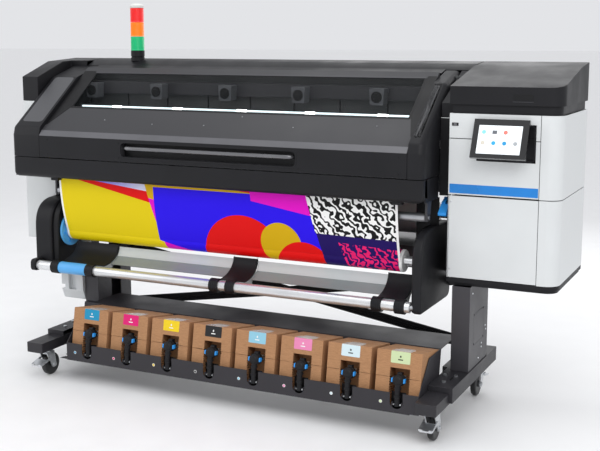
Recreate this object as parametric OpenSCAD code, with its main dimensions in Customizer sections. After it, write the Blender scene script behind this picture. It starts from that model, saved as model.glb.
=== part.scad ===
// Floor-standing roll printer with its own cross cutter: a body with a hinged hood, a service
// cabinet, a take-up reel with a curved deflector, eight ink boxes in a tray, and a caster stand.
// Millimetres, +Z up, front towards -Y, origin on the floor under the middle of the bounding box.
// Inside the modules x counts from the left end, y from the front of the feet, z from the floor.

/* [Overall] */
// Width over the end covers
width = 2583; // [2560:1:2620]
// Depth from the front of the feet to the back cover
depth = 870; // [866:1:880]
// Height of the top cover at the back
height = 1402; // [1398:1:1410]

/* [Stand] */
// Width of a foot tube
foot_w = 84; // [80:1:86]
// Underside of the foot, which is also the height of a caster
foot_z = 125; // [124:1:126]
// Diameter of a caster wheel
wheel_d = 100; // [96:1:102]

/* [Ink boxes] */
// Distance from one ink box to the next
box_pitch = 205; // [200:1:205]
// Width of an ink box
box_w = 182; // [170:1:184]
// Backward lean of the ink boxes, in degrees
box_lean = 10; // [8:1:11]

/* [Reel and rolls] */
// Radius of the wound media on the take-up reel
wound_r = 46; // [42:1:46]
// Radius of the supply roll at the back
supply_r = 85; // [60:1:88]
// Left edge of the media
media_x0 = 312; // [310:1:330]
// Right edge of the media
media_x1 = 1968; // [1900:1:1980]

/* [Hidden] */
$fn = 48;
run_fit = 0.05;          // radial clearance of a shaft that turns in its hole
wall = 4;                // moulded covers
sheet_t = 3;             // folded sheet metal

// stand
foot_x = [347, width - 425];
foot_len = 770;
foot_top = foot_z + 45;
cover_top = foot_top + 21;
cover_x = [[343, 475], [width - 448, width - 327]];
cover_y0 = 150;
post_x = [396, width - 405];
post_w = 74;
accessory_holes = [[430, 565], [290, 410]];   // across the right post's outer side, for M8 screws
accessory_r = 4.25;
post_y = [366, 629];
frame_z = 548;           // underside of the body's lower beam
caster_y = [80, 690];
caster_trail = 25;
stem_r = 6;

// supply tray and boxes
tray_x0 = foot_x[0] + foot_w;
tray_x1 = foot_x[1] - 2;
fascia_x0 = 526;
box_x0 = 534;
box_front = [68, 106];
box_size = [200, 222];
tray_lip_z = 176;
connector_pivot = [66, 128];
connector_dx = 97;

// body and hood, seen from the side as [y, z]
end_y = 446;
hood_x0 = 94;
hood_x1 = 2092;
door_x0 = 255;
door_x1 = 2025;
face_y = 245;
fascia_z0 = 870;
fascia_z1 = 960;
slope = 0.77;
door_foot = [face_y, fascia_z1 + 5];
door_bevel = [[face_y, 1062], [265, 1086]];
door_top = [622, 1086 + slope * (622 - 265)];
window_y = [398, 588];
window_x = [332, 1975];
door_pivot = [634, 1351];
cap_z = 1204;
recess_x = [701, 1551];
recess_z = [985, 1048];

// cabinet
cab_x0 = 2147;
cab_y0 = 384;
cab_z = [535, 564, 894, 1115, 1212, 1247];
seam_x = 2503;
corner_r = 55;
hinge_xy = [cab_x0 + 14, cab_y0 + 6];
screen_x = [2254, 2466];
screen_foot = [299, 1054];
screen_lean = 24;
screen_size = [155, 14];
screen_pivot = [345, 1100];
mount_x = [2257, 2485];
mount_z = [1032, 1176];

// reel, rollers and media
reel_axis = [400, 610];
tube_axis = [262, 456];
tube_r = 22;
housing_left_x = [165, 290];
housing_right_x = [2046, 2088];
plate_x = [180, 2121];
plate_t = 6;
web_z = 931;
platen_top = web_z - 1;
drive_r = 18;
drive_axis = [650, platen_top - drive_r];
pinch_r = 9;
pinch_axis = [650, platen_top + 1.8 + pinch_r];
lever_axis = [482, 858];
supply_axis = [drive_axis[0] + drive_r + 2.4 + supply_r, 745];
output_axis = [345, 803];
web_t = 1;
beacon_at = [437, 780];
beacon_r = 34;

// ---- helpers ----
function arc(c, r, a0, a1, n = 8) =
    [for (i = [0:n]) let (a = a0 + (a1 - a0) * i / n) c + r * [cos(a), sin(a)]];
function unit(v) = v / norm(v);
function left_of(v) = [-v[1], v[0]];
// a line of points moved sideways by d, with mitred corners
function beside(p, d) = [for (i = [0:len(p) - 1])
    let (a = i == 0 ? unit(p[1] - p[0]) : unit(p[i] - p[i - 1]),
         b = i == len(p) - 1 ? a : unit(p[i + 1] - p[i]),
         m = left_of(a) + left_of(b))
    p[i] + d * m * 2 / (m * m)];
function backwards(p) = [for (i = [len(p) - 1:-1:0]) p[i]];
// the outline of a sheet of thickness t that follows the points p
function sheet(p, t) = concat(p, backwards(beside(p, t)));
// an outline with corner i rounded to radius r[i]
function rounded(p, r, n = 6) = [for (i = [0:len(p) - 1])
    let (prev = p[(i + len(p) - 1) % len(p)], next = p[(i + 1) % len(p)],
         a = unit(prev - p[i]), b = unit(next - p[i]),
         half = acos(max(-1, min(1, a * b))) / 2,
         m = unit(a + b), c = p[i] + m * r[i] / sin(half),
         s = atan2(-(m[1]), -(m[0])),
         turn = (a[0] * b[1] - a[1] * b[0]) < 0 ? 1 : -1)
    each r[i] == 0 ? [p[i]] : [for (k = [0:n]) let (g = s + turn * (90 - half) * (2 * k / n - 1))
        c + r[i] * [cos(g), sin(g)]]];
module place() { translate([-width / 2, -depth / 2, 0]) children(); }
module along_x(x0, x1) { translate([x0, 0, 0]) rotate([90, 0, 90]) linear_extrude(x1 - x0) children(); }
module upright(z0, z1) { translate([0, 0, z0]) linear_extrude(z1 - z0) children(); }
module block(a, b) { translate(a) cube(b - a); }
module rod_x(x0, x1, at, r) { translate([x0, at[0], at[1]]) rotate([0, 90, 0]) cylinder(r = r, h = x1 - x0); }
module rod_y(x, y0, y1, z, r) { translate([x, y0, z]) rotate([-90, 0, 0]) cylinder(r = r, h = y1 - y0); }
module hex_x(x0, x1, at, r) { translate([x0, at[0], at[1]]) rotate([0, 90, 0]) cylinder(r = r, h = x1 - x0, $fn = 6); }

// ---- stand ----
module foot(x) {
    difference() {
        block([x, 0, foot_z], [x + foot_w, foot_len, foot_top]);
        block([x + 4, 4, foot_z + 4], [x + foot_w - 4, foot_len - 4, foot_top - 4]);
        for (y = caster_y)
            translate([x + foot_w / 2, y, foot_z - 1]) cylinder(r = stem_r + run_fit, h = 6);
    }
}
module feet() { color("dimgray") for (x = foot_x) foot(x); }
module foot_covers() {
    color("dimgray") for (i = [0, 1]) difference() {
        block([cover_x[i][0], cover_y0, foot_z + 8], [cover_x[i][1], foot_len - 1, cover_top]);
        block([cover_x[i][0] + sheet_t, cover_y0 + sheet_t, foot_z],
              [cover_x[i][1] - sheet_t, foot_len, cover_top - sheet_t]);
        block([foot_x[i], cover_y0 - 1, foot_z], [foot_x[i] + foot_w, foot_len, foot_top]);
        block([tray_x0 - 1, cover_y0 - 1, foot_z], [tray_x1 + 1, 400, cover_top + 1]);
    }
}
module post(i, top) {
    x = post_x[i];
    slot_x = i == 0 ? x + post_w - 5 : x - 1;
    difference() {
        block([x, post_y[0], cover_top], [x + post_w, post_y[1], top]);
        block([x + wall, post_y[0] + wall, cover_top - 1], [x + post_w - wall, post_y[1] - wall, top + 1]);
        block([slot_x, 470, cover_top + 40], [slot_x + 6, 545, top - 40]);
        for (z = brace_ends[1]) rod_y(x + post_w / 2, post_y[1] - wall - 1, post_y[1] + 1, z, 4.6);
        if (i == 0) block([x - 1, post_y[0] - 1, 425], [x + post_w + 1, 555, top + 1]);
        if (i == 1) for (y = accessory_holes[0], z = accessory_holes[1])
            rod_x(x + post_w - wall - 1, x + post_w + 1, [y, z], accessory_r);
    }
}
module posts() {
    color("dimgray") {
        post(0, frame_z);
        post(1, cab_z[0]);
    }
}
brace_ends = [[post_x[0] + 37, post_x[1] + 37], [225, 512]];
module brace(y, z0, z1) {
    run = brace_ends[0][1] - brace_ends[0][0];
    translate([brace_ends[0][0], y, z0]) rotate([0, -atan2(z1 - z0, run), 0])
        difference() {
            block([-22, 0, -20], [norm([run, z1 - z0]) + 22, 5, 20]);
            for (u = [0, norm([run, z1 - z0])]) rod_y(u, -1, 6, 0, 5.5);
        }
}
module cross_braces() {
    color("black") {
        brace(post_y[1], brace_ends[1][0], brace_ends[1][1]);
        brace(post_y[1] + 8, brace_ends[1][1], brace_ends[1][0]);
    }
}
module stand_bolts() {
    color("silver") {
        for (x = brace_ends[0], z = brace_ends[1]) {
            rod_y(x, post_y[1] - 12, post_y[1] + 13, z, 4.5);
            translate([x, post_y[1] + 13, z]) rotate([-90, 0, 0]) cylinder(r = 9, h = 6, $fn = 6);
        }
        for (i = [0, 1], dx = [20, foot_w - 20], y = [300, 690])
            translate([foot_x[i] + dx, y, cover_top]) cylinder(r = 8, h = 5, $fn = 6);
        for (i = [0, 1])
            translate([foot_x[i] + foot_w / 2, 215, cover_top]) cylinder(r = 8, h = 5, $fn = 6);
    }
}

// a swivel fork with its stem, brake pedal and axle; the wheel trails the stem along dir
module caster_fork(x, y, dir) {
    cy = y + dir * caster_trail;
    color("silver") {
        difference() {
            union() {
                translate([x, y, foot_z - 9]) cylinder(r = 29, h = 8.7);
                translate([x, y, foot_z - 20]) cylinder(r = 24, h = 12);
                along_x(x - 23, x + 23) polygon([[y - 26, foot_z - 12], [y + 26, foot_z - 12],
                    [cy + 15, 42], [cy + 9, 36], [cy - 9, 36], [cy - 15, 42]]);
            }
            block([x - 18, y - 80, 20], [x + 18, y + 80, wheel_d + 4]);
        }
        translate([x, y, foot_z - 2]) cylinder(r = stem_r, h = 7);
        rod_x(x - 27, x + 27, [cy, wheel_d / 2], 5);
        for (s = [-1, 1]) hex_x(x + s * 25 - 2, x + s * 25 + 2, [cy, wheel_d / 2], 9);
    }
    color("gainsboro") difference() {
        block([x - 24, y - dir * 68 - 6, 62], [x + 24, y - dir * 68 + 6, 70]);
        block([x - 12, y - dir * 68 - 7, 66], [x + 12, y - dir * 68 + 7, 72]);
    }
    color("gainsboro") along_x(x - 24, x + 24)
        polygon([[y - dir * 74, 60], [y - dir * 74, 66], [y - dir * 34, 84], [y - dir * 32, 77]]);
    color("gainsboro") for (s = [-1, 1])
        along_x(x + s * 26 - 2, x + s * 26 + 2)
            polygon([[y - dir * 72, 62], [y - dir * 72, 70], [y - dir * 10, 88], [y - dir * 10, 76]]);
}
module caster_wheel(x, y, dir) {
    cy = y + dir * caster_trail;
    color("black") difference() {
        union() {
            rod_x(x - 12, x + 12, [cy, wheel_d / 2], wheel_d / 2);
            rod_x(x - 16, x + 16, [cy, wheel_d / 2], 14);
        }
        rod_x(x - 17, x + 17, [cy, wheel_d / 2], 5 + run_fit);
    }
}
function caster_x(i) = foot_x[i] + foot_w / 2;

// ---- supplies ----
module supply_tray() {
    lean = [sin(box_lean), cos(box_lean)];
    pan_back = [box_front[0] + 6 + box_size[0] * lean[1], box_front[1] - 8 - box_size[0] * lean[0]];
    wall_top = pan_back + 232 * lean;
    swivel_r = 82;   // room for a turning caster
    ear = [[59, 99], [78, 97], [76, 132], [70, 138], [62, 138], [59, 132]];
    color("dimgray") for (i = [0:7], s = [-1, 1]) let (x = box_x0 + box_pitch * i + connector_dx + s * 19)
        difference() {
            along_x(x - 2, x + 2) polygon(ear);
            rod_x(x - 3, x + 3, connector_pivot, 4 + run_fit);
        }
    color("dimgray") difference() {
        union() {
            along_x(tray_x0, tray_x1) polygon(sheet([[58, tray_lip_z], [58, 100],
                pan_back, wall_top, [340, wall_top[1]]], -sheet_t));
            along_x(post_x[0] + post_w + 4, tray_x1) polygon(sheet([[336, wall_top[1]],
                [520, wall_top[1]], [520, wall_top[1] - 40]], -sheet_t));
            for (x = [fascia_x0 - sheet_t, tray_x1 - sheet_t]) along_x(x, x + sheet_t)
                polygon([[57, 101], pan_back, wall_top, [wall_top[0] - 140, wall_top[1]], [57, tray_lip_z]]);
        }
        block([tray_x0 - 1, 40, 95], [fascia_x0 - 3, 90, 200]);
        for (i = [0, 1]) block([caster_x(i) - swivel_r, 0, 0],
                               [caster_x(i) + swivel_r, caster_y[0] + swivel_r, foot_z - 5]);
        for (i = [0:7]) let (x = box_x0 + box_pitch * i + connector_dx) {
            block([x - 26, 50, 140], [x + 26, 62, 200]);
            rod_y(x, 50, 62, 140, 26);
        }
    }
}
// the hand-hold for the connector and the die-cut slot in the top of one ink box
module supply_boxes() {
    color("peru") for (i = [0:7])
        translate([box_x0 + box_pitch * i, box_front[0], box_front[1]])
            rotate([-box_lean, 0, 0]) difference() {
                cube([box_w, box_size[0], box_size[1]]);
                block([connector_dx - 41, -1, -1], [connector_dx + 41, 62, 158]);
                block([60, 40, box_size[1] - 4], [120, 70, box_size[1] + 1]);
            }
    color("black") for (i = [0:7])
        translate([box_x0 + box_pitch * i, box_front[0], box_front[1]])
            rotate([-box_lean, 0, 0]) rod_y(connector_dx, 29, 62.5, 113, 12);
}
module connector(i) {
    x = box_x0 + box_pitch * (i - 1) + connector_dx;
    p = connector_pivot;
    color("black") {
        rod_x(x - 21, x + 21, p, 4);
        rod_x(x - 14, x + 14, p, 9);
        rotate_about(x, p, -box_lean) {
            block([x - 11, p[0] - 7, p[1]], [x + 11, p[0] + 8, p[1] + 78]);
            rod_y(x, p[0] - 16, p[0] + 34, p[1] + 92, 23);
            rod_y(x, p[0] - 21, p[0] - 16, p[1] + 92, 16);
            block([x - 9, p[0] - 4, p[1] + 108], [x + 9, p[0] + 28, p[1] + 124]);
        }
    }
    color("dodgerblue") rotate_about(x, p, -box_lean)
        for (s = [-1, 1]) block([x + s * 25 - 4, p[0] - 12, p[1] + 84], [x + s * 25 + 4, p[0] + 8, p[1] + 102]);
}
module rotate_about(x, p, a) {
    translate([x, p[0], p[1]]) rotate([a, 0, 0]) translate([-x, -p[0], -p[1]]) children();
}

// ---- body ----
module main_frame() {
    side = [[end_y + 14, frame_z], [860, frame_z], [860, 1325], [680, 1325], [end_y + 14, 1150]];
    color("slategray") {
        for (x = [plate_x[0], plate_x[1]]) difference() {
            along_x(x, x + plate_t) polygon(side);
            if (x == plate_x[1]) {
                block([x - 1, 440, 933], [x + plate_t + 1, 634, 1086]);
                block([x - 1, 600, 1012], [x + plate_t + 1, 692, 1090]);
                block([x - 1, 671.5, 1039.5], [x + plate_t + 1, 730.5, 1131]);
            }
            rod_x(x - 1, x + plate_t + 1, drive_axis, 10 + run_fit);
            rod_x(x - 1, x + plate_t + 1, supply_axis, 12 + run_fit);
            rod_x(x - 1, x + plate_t + 1, pinch_axis, 5 + run_fit);
            if (x == plate_x[1]) rod_x(x - 1, x + plate_t + 1, lever_axis, 6 + run_fit);
        }
        difference() {
            block([plate_x[0] + plate_t, 560, frame_z], [plate_x[1], 850, 640]);
            block([plate_x[0] + plate_t + 6, 566, frame_z + 6], [plate_x[1] - 6, 844, 634]);
        }
    }
}
module platen() {
    x0 = plate_x[0] + plate_t;
    x1 = plate_x[1];
    front_x1 = hood_x1 - wall - 4;
    nose = concat([[628, platen_top]], arc([325, platen_top - 20], 20, 90, 180), [[305, 892], [628, 892]]);
    color("gray") difference() {
        union() {
            along_x(x0, front_x1) polygon(nose);
            block([front_x1 - 1, end_y, 892], [x1, 628, platen_top]);
            for (x = [x0 + 10, front_x1 - 10]) block([x, 384, platen_top - 1], [x + 8, 400, 966]);
            block([x0 + 10, 388, 950], [front_x1 - 2, 396, 962]);
            for (x = output_x) along_x(x, x + 10)
                polygon([[output_axis[0] - 16, 893], [output_axis[0] - 16, output_axis[1] - 14],
                         [output_axis[0] + 16, output_axis[1] - 14], [output_axis[0] + 40, 893]]);
        }
        for (x = output_x) rod_x(x - 1, x + 11, output_axis, 8 + run_fit);
    }
}
module rear_cover() {
    color("black") along_x(plate_x[0] + plate_t + 3, cab_x0 - 3)
        polygon(sheet([[866, 1330], [866, 862]], sheet_t));
}
top_line = [[706, 1368], [760, 1393], [depth - 8, height], [depth, height - 8], [depth, 1332]];
module top_cover() {
    color("black") {
        along_x(hood_x0 + 96, cab_x0 - 3) polygon(sheet(top_line, -wall));
        along_x(door_x0 + 3, door_x1 - 3) polygon(sheet([[652, 1356], [704, 1368], [730, 1378]], -wall));
        along_x(hood_x1 + 3, cab_x0 - 3)
            polygon(sheet([[end_y, 1192], [end_y, 1246], [704, 1366]], -sheet_t));
    }
}
module end_shell(x1, z0, z1) {
    difference() {
        block([0, end_y, z0], [x1, depth, z1]);
        block([wall, end_y + wall, z0 - 1], [x1 + 1, depth - wall, z1 + 1]);
    }
}
module left_end_cover() {
    color("lightgray") {
        end_shell(hood_x0 - 3, fascia_z0 - 2, cap_z);
        difference() {
            block([0, end_y, 540], [plate_x[0] - 2, depth, fascia_z0 - 2]);
            block([wall, end_y + wall, 546], [plate_x[0] + 1, depth - wall, fascia_z0 + 1]);
            block([housing_left_x[0] - 0.5, end_y - 1, 539], [plate_x[0] + 1, housing_back + 0.5, 756]);
        }
    }
}
cap_line = [[end_y, 1318], [640, 1388], [depth - 6, height], [depth, height - 6]];
module left_cap() {
    outline = concat([[end_y, cap_z + 1]], cap_line, [[depth, cap_z + 1]]);
    inner = [[end_y + wall, cap_z], [end_y + wall, 1314], [640, 1383], [depth - wall, height - 8],
             [depth - wall, cap_z]];
    color("black") difference() {
        along_x(0, hood_x0 + 94) polygon(outline);
        along_x(wall, hood_x0 - 6) polygon(inner);
        intersection() {
            along_x(hood_x0 - 7, hood_x0 + 95) polygon(inner);
            block([0, 706, cap_z - 1], [hood_x0 + 96, depth, height]);
        }
        block([hood_x0 - 2, end_y - 1, cap_z], [hood_x0 + 95, 702, height + 1]);
        block([plate_x[0] - 2, 701, cap_z], [hood_x0 + 95, 707, 1340]);
    }
}
wing_line = [[face_y, fascia_z1 + 3], [face_y, 1062], [256, 1100], [540, 1318], [700, 1366]];
module wing(x0, x1, cheek_x) {
    side = concat(wing_line, [[700, 1240], [434, 1095], [434, fascia_z1 + 3]]);
    along_x(x0, x1) polygon(sheet(wing_line, -wall));
    along_x(cheek_x, cheek_x + wall) polygon(side);
}
module hood_wings() {
    color("black") {
        wing(hood_x0, door_x0 - 2, hood_x0);
        wing(door_x1 + 2, hood_x1, hood_x1 - wall);
    }
}
module lower_fascia() {
    line = [[face_y, fascia_z1], [face_y, 885], [258, fascia_z0], [296, fascia_z0]];
    side = concat(line, [[434, fascia_z0], [434, fascia_z1]]);
    color("black") {
        along_x(hood_x0, hood_x1) polygon(sheet(line, wall));
        for (x = [hood_x0, hood_x1 - wall]) along_x(x, x + wall) polygon(side);
    }
}
module front_door() {
    line = concat([door_foot], door_bevel, [door_top]);
    lip = unit([1, slope]);
    color("black") difference() {
        union() {
            along_x(door_x0, door_x1) polygon(sheet(line, -wall));
            for (x = [door_x0, door_x1 - 8]) along_x(x, x + 8) polygon(sheet(line, -22));
            block([recess_x[0] - 3, face_y + 1, recess_z[0] - 3], [recess_x[1] + 3, face_y + 36, recess_z[1] + 3]);
            for (x = [door_x0 + 20, door_x1 - 60]) difference() {
                rod_x(x, x + 40, door_pivot, 9);
                rod_x(x - 1, x + 41, door_pivot, 5 + run_fit);
            }
        }
        block([recess_x[0], face_y - 1, recess_z[0]], [recess_x[1], face_y + 33, recess_z[1]]);
        translate([window_x[0], window_y[0], door_bevel[1][1] + slope * (window_y[0] - door_bevel[1][0])])
            rotate([atan(slope), 0, 0])
                translate([0, 0, -20])
                    cube([window_x[1] - window_x[0], (window_y[1] - window_y[0]) / cos(atan(slope)), 40]);
        for (x = [door_x0 + 20, door_x1 - 60]) rod_x(x - 1, x + 41, door_pivot, 5 + run_fit);
    }
}
module door_window() {
    color("slategray", 0.4)
        translate([window_x[0], window_y[0], door_bevel[1][1] + slope * (window_y[0] - door_bevel[1][0])])
            rotate([atan(slope), 0, 0]) translate([0, 0, -5])
                cube([window_x[1] - window_x[0], (window_y[1] - window_y[0]) / cos(atan(slope)), 4]);
}
module door_handle() {
    z = 1024;
    y = face_y + 2;
    x0 = recess_x[0] + 26;
    x1 = recess_x[1] - 26;
    color("gray") {
        rod_x(x0, x1, [y, z], 8);
        for (x = [x0, x1]) {
            translate([x, y, z]) sphere(r = 8);
            rod_y(x, y, face_y + 33, z, 8);
        }
    }
}

// ---- cabinet ----
function cab_plan(i) = rounded([[cab_x0 + i, cab_y0 + i], [width - i, cab_y0 + i],
    [width - i, depth - i], [cab_x0 + i, depth - i]], [0, corner_r - i, 20 - i / 2, 0]);
module shell_ring(z0, z1) {
    difference() {
        upright(z0, z1) polygon(cab_plan(0));
        upright(z0 - 1, z1 + 1) polygon(cab_plan(sheet_t));
        block([cab_x0 - 1, cab_y0 - 1, z0 - 1], [seam_x, cab_y0 + sheet_t + 1, z1 + 1]);
        block([cab_x0 - 1, 446, 930], [cab_x0 + sheet_t + 1, 735, 1150]);
    }
}
module cabinet_shell() {
    inlet = [2400, 602];
    color("black") difference() {
        block([inlet[0], depth - 30, inlet[1]], [inlet[0] + 50, depth - sheet_t, inlet[1] + 32]);
        block([inlet[0] + 10, depth - 22, inlet[1] + 5], [inlet[0] + 40, depth, inlet[1] + 27]);
    }
    color("silver") for (dx = [17, 25, 33])
        block([inlet[0] + dx - 1, depth - 22, inlet[1] + 12], [inlet[0] + dx + 1, depth - 6, inlet[1] + 19]);
    color("whitesmoke") {
        difference() {
            shell_ring(cab_z[1], cab_z[2] - 2);
            block([inlet[0] + 10, depth - 5, inlet[1] + 5], [inlet[0] + 40, depth + 1, inlet[1] + 27]);
        }
        shell_ring(cab_z[2] + 1, cab_z[4]);
        block([hood_x1 + 3, 438, 880], [cab_x0 + 1, 442, 1190]);
        difference() {
            block([cab_x0 + 4, cab_y0 + 1, cab_z[2] + 1], [cab_x0 + 26, cab_y0 + 22, cab_z[2] + 10]);
            translate([hinge_xy[0], hinge_xy[1], cab_z[2]]) cylinder(r = 3 + run_fit, h = 12);
        }
    }
}
module cabinet_front() {
    color("whitesmoke") difference() {
        union() {
            block([cab_x0 + 1, cab_y0 - 1, cab_z[2] + 3], [seam_x - 2, cab_y0 + sheet_t - 1, cab_z[3] - 1.5]);
            block([cab_x0 + 1, cab_y0 - 1, cab_z[3] + 1.5], [seam_x - 2, cab_y0 + sheet_t - 1, cab_z[4]]);
        }
        block([mount_x[0], cab_y0 - 2, mount_z[0]], [mount_x[1], cab_y0 + 5, mount_z[1]]);
        block([cab_x0, cab_y0 + 1, cab_z[2]], [cab_x0 + 27, cab_y0 + 4, cab_z[2] + 11]);
    }
}
module service_door() {
    x0 = cab_x0 + 6;
    x1 = seam_x - 2;
    z0 = cab_z[1] + 3;
    z1 = cab_z[2] - 3;
    color("whitesmoke") {
        difference() {
            block([x0, cab_y0 - 1, z0], [x1, cab_y0 + 14, z1]);
            block([x0 + 18, cab_y0 + 2, z0 + 3], [x1 - 3, cab_y0 + 15, z1 - 3]);
        }
        for (z = [z0 - 8, z1]) translate([hinge_xy[0], hinge_xy[1], z]) cylinder(r = 3, h = 8);
    }
}
module cabinet_cap() {
    side = [[cab_y0, cab_z[5]], [cab_y0, 1316], [700, 1385], [depth - 6, height], [depth, height - 6],
            [depth, cab_z[5]]];
    inner = [[cab_y0 + 5, cab_z[4]], [cab_y0 + 5, 1311], [700, 1380], [depth - 5, height - 9], [depth - 5, cab_z[4]]];
    color("black") difference() {
        union() {
            intersection() {
                along_x(cab_x0, width) polygon(side);
                upright(cab_z[4], height + 1) polygon(cab_plan(0));
            }
            upright(cab_z[4] + 0.5, cab_z[5]) polygon(cab_plan(10));
        }
        intersection() {
            along_x(cab_x0 + 14, width) polygon(inner);
            upright(cab_z[4] - 1, height + 1) polygon(cab_plan(15));
        }
    }
}
module cabinet_base() {
    color("black") difference() {
        union() {
            upright(cab_z[0] + 12, cab_z[1]) polygon(cab_plan(1));
            upright(cab_z[0], cab_z[0] + 12) polygon(cab_plan(8));
        }
        upright(cab_z[0] + 6, cab_z[1] + 1) polygon(cab_plan(22));
        translate([hinge_xy[0], hinge_xy[1], cab_z[1] - 10]) cylinder(r = 3 + run_fit, h = 12);
    }
}
module screen_mount() {
    r = 18;
    lug_r = 8.5;
    plan = rounded([[mount_x[0] + 1, mount_z[0] + 1], [mount_x[1] - 1, mount_z[0] + 1],
        [mount_x[1] - 1, mount_z[1] - 1], [mount_x[0] + 1, mount_z[1] - 1]], [r, r, r, r]);
    color("black") difference() {
        union() {
            translate([0, cab_y0 + 22, 0]) rotate([90, 0, 0]) linear_extrude(24) polygon(plan);
            for (x = [2310, 2400]) {
                along_x(x, x + 12) polygon([[cab_y0, 1072], [cab_y0, 1128],
                    screen_pivot + [0, lug_r], screen_pivot - [0, lug_r]]);
                rod_x(x, x + 12, screen_pivot, lug_r);
            }
        }
        block([mount_x[0] + 8, cab_y0 - 3, mount_z[0] + 8], [2304, cab_y0 + 10, mount_z[1] - 8]);
        block([2418, cab_y0 - 3, mount_z[0] + 8], [mount_x[1] - 8, cab_y0 + 10, mount_z[1] - 8]);
        for (x = [2309, 2399]) rod_x(x, x + 14, screen_pivot, 4 + run_fit);
    }
}
module touch_screen() {
    color("black") {
        translate([screen_x[0], screen_foot[0], screen_foot[1]]) rotate([-screen_lean, 0, 0]) difference() {
            cube([screen_x[1] - screen_x[0], screen_size[1], screen_size[0]]);
            block([22, -1, 16], [screen_x[1] - screen_x[0] - 22, 1, screen_size[0] - 24]);
        }
        rod_x(2306, 2416, screen_pivot, 4);
        for (x = [2324, 2384]) along_x(x, x + 14)
            polygon([[screen_pivot[0] + 8, screen_pivot[1] - 8], [screen_pivot[0] + 8, screen_pivot[1] + 8],
                     [331, 1098], [326, 1086]]);
    }
}
module beacon() {
    color("silver") difference() {
        translate([beacon_at[0], beacon_at[1], height - 20]) cylinder(r = 26, h = 26);
        along_x(beacon_at[0] - 30, beacon_at[0] + 30)
            polygon(concat([[706, 1300]], [for (i = [0:2]) top_line[i] + [0, 0.2]], [[depth - 8, 1300]]));
    }
    translate([beacon_at[0], beacon_at[1], height - 6]) {
        color("silver") {
            translate([0, 0, 11]) cylinder(r = 11, h = 25);
            translate([0, 0, 32]) cylinder(r = beacon_r, h = 12);
        }
        for (i = [0:2]) color(["green", "orange", "red"][i])
            translate([0, 0, 44.5 + 68 * i]) cylinder(r = beacon_r - 1, h = 66);
        color("silver") translate([0, 0, 248]) {
            cylinder(r = beacon_r, h = 14);
            cylinder(r = beacon_r - 6, h = 22);
        }
    }
}

// ---- reel and deflector ----
housing_back = 626;
function housing_side(y0) = rounded([[y0, 430], [housing_back, 430], [housing_back, 755], [y0, 755]],
    [26, 40, 30, 130]);
// the room that a reel housing leaves for the body's lower beam
module beam_room(x0, x1) { block([x0, 559.8, frame_z - 0.2], [x1, housing_back + 1, 640.2]); }
module reel_housing_left() {
    lug = [tube_axis[0] - 28, 428];
    color("black") difference() {
        union() {
            along_x(housing_left_x[0], housing_left_x[1]) polygon(housing_side(300));
            along_x(housing_left_x[0] + 20, housing_left_x[0] + 46)
                polygon(rounded([lug, [330, 431], [330, 486], [lug[0], 484]], [20, 0, 0, 20]));
        }
        rod_x(housing_left_x[0] + 22, housing_left_x[0] + 47, tube_axis, 10 + run_fit);
        rod_x(housing_left_x[1] - 24, housing_left_x[1] + 1, reel_axis, 12 + run_fit);
        beam_room(plate_x[0], housing_left_x[1] + 1);
        block([plate_x[0] - 0.2, end_y + 13.8, frame_z - 0.2],
              [plate_x[0] + plate_t + 0.2, housing_back + 1, 756]);
    }
}
module reel_housing_right() {
    color("black") difference() {
        along_x(housing_right_x[0], housing_right_x[1]) polygon(housing_side(250));
        rod_x(housing_right_x[0] - 1, housing_right_x[0] + 20, tube_axis, 10 + run_fit);
        rod_x(housing_right_x[0] - 1, housing_right_x[0] + 24, reel_axis, 12 + run_fit);
        beam_room(housing_right_x[0] - 1, housing_right_x[1] + 1);
    }
}
module reel_spindle() {
    x0 = housing_left_x[1];
    x1 = housing_right_x[0];
    color("silver") difference() {
        union() {
            rod_x(x0 - 22, x1 + 22, reel_axis, 12);
            rod_x(x0 + 2, x1 - 2, reel_axis, 20);
        }
        rod_x(x0 + 12, x1 - 12, reel_axis, 17.5);
    }
    color("deepskyblue") for (x = [x0 + 2, x1 - 16]) difference() {
        rod_x(x, x + 14, reel_axis, 77);
        rod_x(x - 1, x + 15, reel_axis, 20);
    }
}
module take_up_roll() {
    color("tan") difference() {
        rod_x(media_x0 - 3, media_x1 + 3, reel_axis, wound_r - 2);
        rod_x(media_x0 - 4, media_x1 + 4, reel_axis, 20.5);
    }
    color("gold") difference() {
        rod_x(media_x0, media_x1, reel_axis, wound_r);
        rod_x(media_x0 - 1, media_x1 + 1, reel_axis, wound_r - 1.9);
    }
}
arm_x = [[298, 533], [1142, 1263], [1885, 2024]];      // clamps on the tube
blade_x = [[336, 575], [1180, 1300], [1900, 2012]];     // plates of the arms
arm_top = [392, 557];
sleeve_x = [340, 491];
module deflector_tube() {
    color("silver") difference() {
        union() {
            rod_x(housing_left_x[0] + 48, housing_right_x[0] - 2, tube_axis, tube_r);
            rod_x(housing_left_x[0] + 24, housing_right_x[0] + 18, tube_axis, 10);
        }
        rod_x(housing_left_x[0] + 58, housing_right_x[0] - 12, tube_axis, tube_r - 2.5);
    }
    color("deepskyblue") difference() {
        rod_x(sleeve_x[0], sleeve_x[1], tube_axis, tube_r + 5);
        rod_x(sleeve_x[0] - 1, sleeve_x[1] + 1, tube_axis, tube_r + 0.2);
    }
}
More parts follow.
